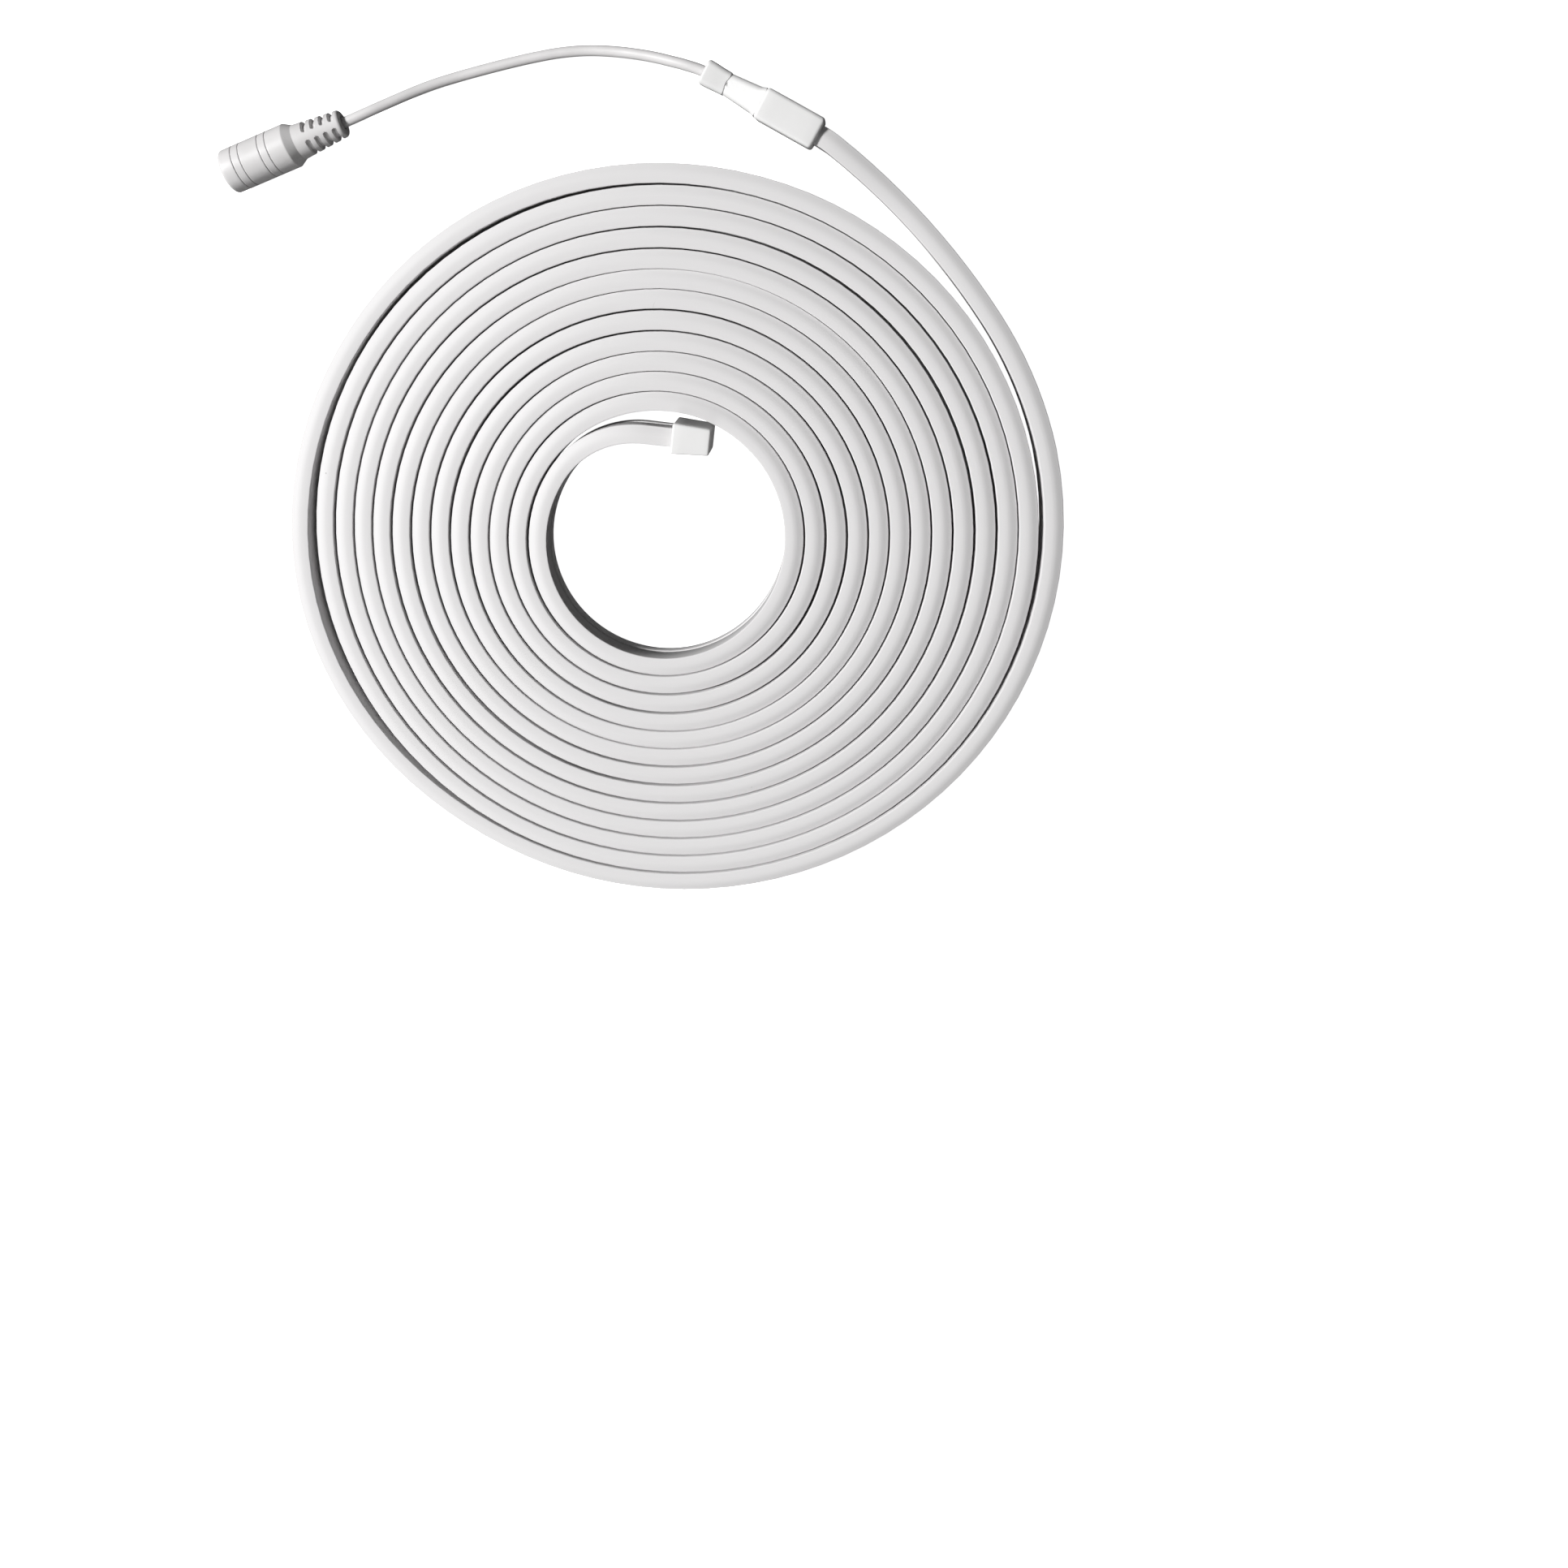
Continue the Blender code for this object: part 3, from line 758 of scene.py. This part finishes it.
    def stations(self) -> list[Station]:
        """Return the places with their height and how far along the flex they lie."""
        places = self.places()
        runs = [0.0]
        for before, after in zip(places, places[1:]):
            runs.append(runs[-1] + (after - before).length)
        found = []
        for place, run in zip(places, runs):
            from_inner = (run - self.inner_tail) / self.lift_length
            from_feed = (runs[-1] - run - self.feed_tail) / self.lift_length
            lift = (self.cap_wall + CLEARANCE) * (1 - ease(min(from_inner, from_feed)))
            found.append(Station(place, lift, run))
        return found

    def build(self, material: Material) -> Object:
        """Sweep and dress the flex.

        Args:
            material: The milky silicone.

        Returns:
            The piece.
        """
        stations = self.stations()
        outline = self.outline()
        sweep: Sweep | None = None
        for index, station in enumerate(stations):
            before = stations[max(index - 1, 0)].place
            after = stations[min(index + 1, len(stations) - 1)].place
            along = (after - before).normalized()
            side = Vector((along.y, -along.x, 0.0))
            ring = [station.place + side * across + Vector((0.0, 0.0, station.lift + up))
                    for across, up in outline]
            if sweep is None:
                sweep = Sweep(ring, station.run)
            else:
                sweep.grow(ring, station.run)
        return add_piece("flex_coil", sweep.close(), Matrix.Translation(COIL_AXIS), material,
                         Slot.SILICONE, "neon_flex", 50.0)


@dataclass
class CapSection:
    """The rounded section of a cap at one place along it."""

    x: float
    half_width: float
    low: float
    high: float
    low_round: float
    high_round: tuple[float, float]
    pillow: float = 0.0

    def ring(self, along: int, steps: int = 6) -> Ring:
        """Return the points of the section.

        Args:
            along: The steps along each flat side.
            steps: The steps round each corner.

        Returns:
            The points, from the foot up the right side and round.
        """
        across, up = self.high_round
        low = self.low_round
        corners = [
            (self.half_width - low, self.low + low, low, low, -90.0),
            (self.half_width - across, self.high - up, across, up, 0.0),
            (-self.half_width + across, self.high - up, across, up, 90.0),
            (-self.half_width + low, self.low + low, low, low, 180.0),
        ]
        arcs = []
        for y, z, wide, tall, start in corners:
            angles = [math.radians(start + 90 * step / steps) for step in range(steps + 1)]
            arcs.append([Vector((self.x, y + wide * math.cos(a), z + tall * math.sin(a)))
                         for a in angles])
        points = []
        for arc, after in zip(arcs, arcs[1:] + arcs[:1]):
            points += arc
            gap = after[0] - arc[-1]
            outward = Vector((0.0, gap.z, -gap.y)).normalized() if gap.length > 0 else Vector()
            for step in range(1, along):
                share = step / along
                swell = self.pillow * math.sin(math.pi * share)
                points.append(arc[-1] + gap * share + outward * swell)
        return points


@dataclass
class FlexCap:
    """What both caps share: the rounded body and the pocket that takes the end of the flex."""

    flex: NeonFlex
    wall: float = 0.00115
    edge_round: float = 0.0009
    pillow: float = 0.00004
    mouth_chamfer: float = 0.00012
    pocket_round: tuple[float, float] = (0.0009, 0.0006)

    def half_width(self) -> float:
        """Return half the outer width."""
        return self.flex.width / 2 + CLEARANCE + self.wall

    def top(self) -> float:
        """Return the height of the top."""
        return self.flex.height + 2 * (CLEARANCE + self.wall)

    def pocket_section(self, x: float, grow: float) -> CapSection:
        """Return the section of the pocket.

        Args:
            x: Where the section lies.
            grow: The gap all round the flex.

        Returns:
            The section.
        """
        half = self.flex.width / 2 + grow
        base = self.wall + CLEARANCE
        return CapSection(x, half, base - grow, base + self.flex.height + grow, 0.0002,
                          self.pocket_round)

    def body_section(self, x: float, inset: float, narrow: float = 0.0) -> CapSection:
        """Return the section of the body.

        Args:
            x: Where the section lies.
            inset: How far it is drawn in all round.
            narrow: How far its sides are drawn in beyond that.

        Returns:
            The section.
        """
        edge = self.edge_round
        skin = self.pillow
        half = self.half_width() - inset - narrow - skin
        return CapSection(x, half, inset + skin, self.top() - inset - skin, edge,
                          (edge, edge), skin)

    def pocket_rows(self, depth: float) -> list[CapSection]:
        """Return the sections from the floor of the pocket out to the rim of the mouth."""
        gap = CLEARANCE * 0.55
        return [self.pocket_section(depth, gap),
                self.pocket_section(self.mouth_chamfer, gap),
                self.pocket_section(0.0, gap + self.mouth_chamfer)]

    def end_rows(self, x: float, way: int, narrow: float = 0.0) -> list[CapSection]:
        """Return the sections of a rounded end, from its plane the way that the body lies."""
        edge = self.edge_round
        return [self.body_section(x + way * edge * (1 - c), edge * (1 - s), narrow)
                for s, c in quarter(5)]

    def sweep(self, rows: Sequence[CapSection], along: int) -> Mesh:
        """Sweep sections into the skin of a cap.

        Args:
            rows: The sections in order.
            along: The steps along each flat side.

        Returns:
            The closed mesh.
        """
        sweep = Sweep(rows[0].ring(along=along))
        for row in rows[1:]:
            sweep.grow(row.ring(along=along))
        return sweep.close()


@dataclass
class EndCap(FlexCap):
    """The closed cap on the inner end of the flex."""

    edge_round: float = 0.0005
    length: float = 0.0091
    face: float = 0.0015
    taper: float = 0.0005

    def build(self, material: Material) -> Object:
        """Make and dress the cap.

        Args:
            material: The white moulding.

        Returns:
            The piece.
        """
        depth = self.length - self.face
        rows = self.pocket_rows(depth) + self.end_rows(0.0, 1)
        rows += [self.body_section(self.length * share, 0.0, self.taper * share)
                 for share in (0.3, 0.5, 0.7, 0.85)]
        rows += self.end_rows(self.length, -1, self.taper)[::-1]
        places = self.flex.places()
        heading = self.flex.start_angle - 90 - self.flex.inner_bend_angle
        mouth = places[0] - direction(heading) * (depth - CLEARANCE)
        return add_piece("end_cap_shell", self.sweep(rows, 5), seat(mouth, heading), material,
                         Slot.MOULDING, "end_cap", 50.0)


@dataclass
class FeedCap(FlexCap):
    """The feed cap: a block over the flex, a tapered neck, and a collar round the lead."""

    block_length: float = 0.0148
    pocket: float = 0.0088
    neck_length: float = 0.0086
    neck_root: tuple[float, float] = (0.00318, 0.0044)
    neck_tip: float = 0.00248
    neck_round: float = 0.0012
    collar_length: float = 0.0061
    collar_neck_half: float = 0.00265
    collar_lead_half: float = 0.00290
    collar_wave: float = 0.00018
    collar_edge: float = 0.0006
    dimple_radius: float = 0.00042
    dimple_depth: float = 0.00045
    lead_seat: float = 0.0060
    bore_radius: float = 0.00140

    def length(self) -> float:
        """Return the length from the mouth to the end of the collar."""
        return self.block_length + self.neck_length + self.collar_length

    def heading(self) -> float:
        """Return the heading of the cap."""
        return self.flex.end_angle() + 90 + sum(angle for _, angle, _ in self.flex.feed_bends)

    def mouth(self) -> Vector:
        """Return the middle of the foot of its mouth."""
        return self.flex.places()[-1] - direction(self.heading()) * (self.pocket - CLEARANCE)

    def square(self, x: float, half_width: float, half_height: float, corner: float) -> CapSection:
        """Return a rounded section about the axis of the neck."""
        axis = self.top() / 2
        return CapSection(x, half_width, axis - half_height, axis + half_height, corner,
                          (corner, corner))

    def neck_rows(self) -> list[CapSection]:
        """Return the sections from the shoulder of the block to the collar."""
        wide, tall = self.neck_root
        rows = []
        shares = [step / 14 for step in range(13)] + [0.87, 0.885]
        shares += [0.9 + step / 100 for step in range(11)]
        for share in shares:
            settled = share ** 0.9
            flare = 0.00028 * (1 - ease(share * 7))
            half_width = wide + (self.neck_tip - wide) * settled + flare
            half_height = tall + (self.neck_tip - tall) * settled + flare
            rows.append(self.square(self.block_length + 0.00008 + self.neck_length * share,
                                    half_width, half_height, self.neck_round))
        return rows

    def collar_rows(self) -> list[CapSection]:
        """Return the sections of the collar."""
        start = self.block_length + self.neck_length
        end = self.length()
        near, far = self.collar_neck_half, self.collar_lead_half
        edge = self.collar_edge
        rows = []
        for s, c in quarter(4):
            half = near - (near - self.neck_tip) * (1 - s) * 0.8
            rows.append(self.square(start + 0.00012 + 0.00024 * (1 - c), half, half,
                                    self.neck_round))
        for share in (0.075, 0.09, 0.105, 0.12, 0.14, 0.17, 0.22, 0.3, 0.45, 0.6, 0.75, 0.86):
            half = near + (far - near) * ease(share * 1.15)
            rows.append(self.square(start + self.collar_length * share, half, half,
                                    self.neck_round))
        rows += [self.square(end - edge * (1 - s), far - edge * (1 - c),
                             far - edge * (1 - c), self.neck_round - edge * 0.5 * (1 - c))
                 for s, c in quarter(4)]
        return rows

    def bore_rows(self) -> list[CapSection]:
        """Return the sections of the bore round the lead, from its rim inwards."""
        end = self.length()
        rim = self.bore_radius + 0.00012
        radius = self.bore_radius
        return [self.square(end, rim, rim, rim * 0.999),
                self.square(end - 0.00012, radius, radius, radius * 0.999),
                self.square(end - self.lead_seat, radius, radius, radius * 0.999)]

    def mould(self, bm: Mesh) -> None:
        """Wave the edge of the collar and press the dimple into the top beside it.

        Args:
            bm: The mesh of the cap, along X from its mouth.
        """
        axis = self.top() / 2
        start = self.block_length + self.neck_length
        centre = Vector((start - 0.00022, 0.0, axis + self.neck_tip))
        for vertex in bm.verts:
            y, z = vertex.co.y, vertex.co.z - axis
            if math.hypot(y, z) < self.neck_tip * 0.85:
                continue
            near = 1 - ease(abs(vertex.co.x - start) / 0.0012)
            around = math.atan2(y, z)
            vertex.co.x += self.collar_wave * near * math.cos(4 * around)
            reach = (vertex.co - centre).length / self.dimple_radius
            vertex.co.z -= self.dimple_depth * (1 - ease(reach * 0.75))

    def build(self, material: Material) -> Object:
        """Make and dress the cap.

        Args:
            material: The white moulding.

        Returns:
            The piece.
        """
        rows = self.pocket_rows(self.pocket) + self.end_rows(0.0, 1)
        rows += [self.body_section(self.block_length * share, 0.0)
                 for share in (0.2, 0.4, 0.6, 0.8)]
        rows += self.end_rows(self.block_length, -1)[::-1]
        rows += self.neck_rows() + self.collar_rows() + self.bore_rows()
        bm = self.sweep(rows, 16)
        self.mould(bm)
        return add_piece("feed_cap_shell", bm, seat(self.mouth(), self.heading()), material,
                         Slot.MOULDING, "feed_cap", 50.0)


@dataclass
class DcSocket:
    """The moulded socket: a barrel, a shoulder and a slotted strain relief, with its pin."""

    mouth: tuple[float, float] = (-0.10367, 0.08636)
    diameter: float = 0.0105
    barrel_length: float = 0.0170
    shoulder_length: float = 0.0020
    relief_length: float = 0.0119
    relief_start: float = 0.0083
    relief_end: float = 0.0065
    relief_round: float = 0.0009
    mouth_round: float = 0.0009
    groove_starts: tuple[float, ...] = (0.0035, 0.0055, 0.0106, 0.0126)
    groove_width: float = 0.00030
    groove_depth: float = 0.00022
    groove_hold: float = 0.00016
    slot_count: int = 4
    slot_width: float = 0.00110
    slot_pitch: float = 0.00225
    slot_depth: float = 0.0008
    slot_start: float = 0.00265
    slot_arc: float = 149.0
    slot_edge: float = 0.00014
    bore_radius: float = 0.00285
    bore_depth: float = 0.0095
    lead_seat: float = 0.0060
    lead_gap_radius: float = 0.00136
    pin_radius: float = 0.0010
    pin_recess: float = 0.0012
    pin_tip: float = 0.0004
    heading = 21.2

    def length(self) -> float:
        """Return the length from the mouth to the end of the strain relief."""
        return self.barrel_length + self.shoulder_length + self.relief_length

    def axes(self) -> Matrix:
        """Return the axes of the socket, from the middle of its mouth."""
        return seat(Vector((*self.mouth, self.diameter / 2)), self.heading)

    def groove(self, start: float) -> list[tuple[float, float]]:
        """Return the profile of one fine groove round the barrel."""
        radius = self.diameter / 2
        width, depth, held = self.groove_width, self.groove_depth, self.groove_hold
        near = [(-held, 0.0), (-0.00002, 0.0), (0.00003, 0.00003), (width / 2 - 0.00002, depth)]
        far = [(width - along, deep) for along, deep in reversed(near)]
        return [(start + along, radius - deep) for along, deep in near + far]

    def relief_radius(self, x: float) -> float:
        """Return the radius of the strain relief before its slots are cut."""
        share = (x - self.length() + self.relief_length) / (self.relief_length - self.relief_round)
        narrowing = (self.relief_start - self.relief_end) / 2
        radius = self.relief_start / 2 - narrowing * min(share, 1.0)
        over = (x - (self.length() - self.relief_round)) / self.relief_round
        if over > 0:
            radius -= self.relief_round * (1 - math.sqrt(max(0.0, 1 - min(over, 1.0) ** 2)))
        return radius

    def profile(self) -> list[tuple[float, float]]:
        """Return the turned profile, from the floor of the bore round to the lead's seat."""
        bore, barrel, length = self.bore_radius, self.diameter / 2, self.length()
        shoulder = self.barrel_length + self.shoulder_length
        points = [(self.bore_depth, 0.0), (self.bore_depth, bore * 0.5), (self.bore_depth, bore),
                  (0.004, bore), (0.0003, bore), (0.0, bore + 0.0003), (0.0, bore + 0.0010)]
        points += [(self.mouth_round * (1 - c), barrel - self.mouth_round * (1 - s))
                   for s, c in quarter(6)]
        for start in self.groove_starts:
            points += self.groove(start)
        points += [(self.barrel_length - held, barrel)
                   for held in (0.00045, 0.00020, 0.00008)]
        drop = barrel - self.relief_start / 2
        points += [(self.barrel_length + self.shoulder_length * share, barrel - drop * share)
                   for share in (0.04, 0.10, 0.5, 0.90, 0.96)]
        rows = 150
        points += [(shoulder + self.relief_length * step / rows,
                    self.relief_radius(shoulder + self.relief_length * step / rows))
                   for step in range(rows + 1)]
        rim = self.lead_gap_radius
        points += [(length, rim + 0.0004), (length - 0.0002, rim + 0.0001), (length - 0.0006, rim),
                   (length - self.lead_seat, rim), (length - self.lead_seat, 0.0)]
        return points

    def press_slots(self, bm: Mesh) -> None:
        """Press the round-ended slots into both sides of the strain relief.

        Args:
            bm: The turned mesh, along X from its mouth.
        """
        shoulder = self.barrel_length + self.shoulder_length
        centres = [shoulder + self.slot_start + self.slot_width / 2 + self.slot_pitch * index
                   for index in range(self.slot_count)]
        for vertex in bm.verts:
            radius = math.hypot(vertex.co.y, vertex.co.z)
            if vertex.co.x < shoulder or radius < self.relief_end / 2 - self.relief_round:
                continue
            aside = abs(math.degrees(math.atan2(vertex.co.y, vertex.co.z)))
            span = radius * math.radians(self.slot_arc / 2) - self.slot_width / 2
            beyond = max(radius * math.radians(abs(aside - 90)) - span, 0.0)
            reach = min(math.hypot(beyond, vertex.co.x - centre) for centre in centres)
            deep = 1 - ease((reach - self.slot_width / 2) / self.slot_edge + 0.5)
            scale = 1 - self.slot_depth * deep / radius
            vertex.co.y *= scale
            vertex.co.z *= scale

    def build(self, material: Material) -> Object:
        """Make and dress the socket.

        Args:
            material: The satin jacket plastic.

        Returns:
            The piece.
        """
        bm = lathe(self.profile(), 144)
        self.press_slots(bm)
        return add_piece("dc_socket_body", bm, self.axes(), material, Slot.JACKET, "dc_socket",
                         42.0)

    def build_pin(self, material: Material) -> Object:
        """Make and dress the contact pin.

        Args:
            material: The bright plating.

        Returns:
            The piece.
        """
        radius, tip = self.pin_radius, self.pin_tip
        foot = self.bore_depth - CLEARANCE * 0.2
        profile = [(self.pin_recess, 0.0), (self.pin_recess, radius - tip)]
        profile += [(self.pin_recess + tip * (1 - c), radius - tip * (1 - s))
                    for s, c in quarter(6)[1:]]
        profile += [(self.pin_recess + 0.0016, radius), (foot - 0.0005, radius),
                    (foot - 0.0003, radius + 0.0002), (foot, radius + 0.0002), (foot, 0.0)]
        return add_piece("contact_pin_turned", lathe(profile, 48), self.axes(), material,
                         Slot.PLATING, "contact_pin", 42.0)


@dataclass
class PowerLead:
    """The round lead from the collar of the feed cap to the strain relief of the socket."""

    cap: FeedCap
    socket: DcSocket
    diameter: float = 0.0025
    seat_depth: float = 0.0060
    spacing: float = 0.0015
    route: tuple[Colour, ...] = (
        (0.0056, 0.10930, 0.00595), (0.0024, 0.11020, 0.00530), (-0.0032, 0.11160, 0.00390),
        (-0.0103, 0.11277, 0.00230), (-0.0172, 0.11325, 0.00145), (-0.0235, 0.11295, 0.00127),
        (-0.0300, 0.11197, 0.00126), (-0.0370, 0.11055, 0.00126), (-0.0437, 0.10900, 0.00130),
        (-0.0490, 0.10762, 0.00160), (-0.0540, 0.10610, 0.00230), (-0.0590, 0.10418, 0.00330),
        (-0.0640, 0.10205, 0.00430), (-0.0695, 0.09970, 0.00515))

    def guide_points(self) -> list[Vector]:
        """Return the points that the lead passes, from its seat in the cap to the socket's."""
        cap, socket = self.cap, self.socket
        along = direction(cap.heading())
        mouth = cap.mouth() + Vector((0.0, 0.0, cap.top() / 2))
        inner = mouth + along * (cap.length() - self.seat_depth + CLEARANCE)
        axis = direction(socket.heading)
        relief_end = Vector((*socket.mouth, socket.diameter / 2)) + axis * socket.length()
        points = [inner, mouth + along * cap.length(), *map(Vector, self.route), relief_end,
                  relief_end - axis * (self.seat_depth - CLEARANCE)]
        return [point + COIL_AXIS for point in points]

    def centreline(self, points: Sequence[Vector]) -> list[Vector]:
        """Return a smooth line through points.

        Args:
            points: The points that it passes.

        Returns:
            Places along the line at an even spacing.
        """
        ends = [points[0] * 2 - points[1], *points, points[-1] * 2 - points[-2]]
        line = []
        for before, start, stop, after in zip(ends, ends[1:], ends[2:], ends[3:]):
            count = max(1, round((stop - start).length / self.spacing))
            for step in range(count):
                t = step / count
                line.append(0.5 * (2 * start + (stop - before) * t
                                   + (2 * before - 5 * start + 4 * stop - after) * t ** 2
                                   + (3 * start - before - 3 * stop + after) * t ** 3))
        return line + [points[-1]]

    def build(self, material: Material) -> Object:
        """Make and dress the lead.

        Args:
            material: The satin jacket plastic.

        Returns:
            The piece.
        """
        line = self.centreline(self.guide_points())
        curve = bpy.data.curves.new("lead_jacket", "CURVE")
        curve.dimensions = "3D"
        curve.bevel_depth = self.diameter / 2
        curve.bevel_resolution = 6
        curve.use_fill_caps = True
        spline = curve.splines.new("POLY")
        spline.points.add(len(line) - 1)
        for point, place in zip(spline.points, line):
            point.co = (*place, 1.0)
        spline.use_smooth = True
        curve.materials.append(material)
        return settle(add_object("lead_jacket", curve), Slot.JACKET, "power_lead")

    def declare(self) -> None:
        points = self.guide_points()
        line = self.centreline(points)
        length = sum((after - before).length for before, after in zip(line, line[1:]))
        LOG.info("lead: %.1f mm long", length * 1000)


@dataclass(frozen=True)
class PhotoCamera:
    """The camera, whose shift puts the coil where the photograph has it."""

    place: Colour = (0.03926, 0.06531, 0.34040)
    right: Colour = (0.99322, 0.0, -0.11622)
    down: Colour = (0.02478, -0.97700, 0.21180)
    forward: Colour = (-0.11355, -0.21325, -0.97038)
    lens: float = 32.82
    shift: tuple[float, float] = (0.0745, -0.1610)

    def build(self) -> Object:
        """Make the camera of the scene and return it."""
        data = bpy.data.cameras.new("photo_camera")
        data.sensor_width = 36.0
        data.lens = self.lens
        data.shift_x, data.shift_y = self.shift
        data.clip_start = 0.01
        data.clip_end = 10.0
        camera = add_object("photo_camera", data)
        axes = Matrix((self.right, -Vector(self.down), -Vector(self.forward))).transposed()
        camera.matrix_world = Matrix.Translation(self.place) @ axes.to_4x4()
        bpy.context.scene.camera = camera
        return camera


@dataclass(frozen=True)
class Softbox:
    """One area light that looks at the middle of the coil."""

    name: str
    azimuth: float
    elevation: float
    distance: float
    size: float
    power: float

    def build(self) -> Object:
        """Make the light and return it."""
        data = bpy.data.lights.new(self.name, "AREA")
        data.shape = "DISK"
        data.size = self.size
        data.energy = self.power
        light = add_object(self.name, data)
        level = math.cos(math.radians(self.elevation))
        back = direction(self.azimuth) * level
        back.z = math.sin(math.radians(self.elevation))
        light.location = back * self.distance
        light.rotation_mode = "QUATERNION"
        light.rotation_quaternion = back.to_track_quat("Z", "Y")
        return light


@dataclass
class Studio:
    """The pale floor and the soft light round the part."""

    floor_size: float = 40.0
    sky: Colour = (1.0, 1.0, 1.0)
    sky_strength: float = 0.06
    lights: tuple[Softbox, ...] = (
        Softbox("overhead_softbox", 160.0, 80.0, 1.0, 0.60, 0.4),
        Softbox("key_softbox", 165.0, 46.0, 3.0, 0.60, 124.0),
        Softbox("fill_softbox", 250.0, 30.0, 1.0, 0.40, 2.0),
    )

    def build_floor(self) -> Object:
        """Make the floor, which isn't part of the object."""
        bm = bmesh.new()
        bmesh.ops.create_grid(bm, x_segments=4, y_segments=4, size=self.floor_size / 2)
        mesh = bpy.data.meshes.new("floor")
        bm.to_mesh(mesh)
        bm.free()
        mesh.materials.append(FloorFinish().material())
        floor = add_object("floor", mesh)
        floor.visible_diffuse = False
        floor.visible_glossy = False
        return floor

    def build(self) -> None:
        """Make the floor, the lights and the plain sky."""
        self.build_floor()
        for light in self.lights:
            light.build()
        world = bpy.data.worlds.new("soft_sky")
        world.use_nodes = True
        background = world.node_tree.nodes["Background"]
        background.inputs["Color"].default_value = (*self.sky, 1.0)
        background.inputs["Strength"].default_value = self.sky_strength
        bpy.context.scene.world = world
        bpy.context.scene.view_settings.view_transform = "Standard"
        LOG.info("studio: %d lights", len(self.lights))


def main() -> None:
    """Build the camera, the lead, the other pieces and the studio in order."""
    logging.basicConfig(level=logging.INFO, format="%(name)s: %(message)s")
    flex, socket = NeonFlex(), DcSocket()
    feed_cap = FeedCap(flex)
    lead = PowerLead(feed_cap, socket)
    PhotoCamera().build()
    jacket = lead.build(JacketFinish("lead_jacket", grain_depth=0.000004).material())
    body = socket.build(JacketFinish().material())
    pin = socket.build_pin(PlatingFinish().material())
    lead.declare()
    flex.build(SiliconeFinish().material())
    moulding = MouldingFinish().material()
    EndCap(flex).build(moulding)
    feed_cap.build(moulding)
    Studio().build()


if __name__ == "__main__":
    main()
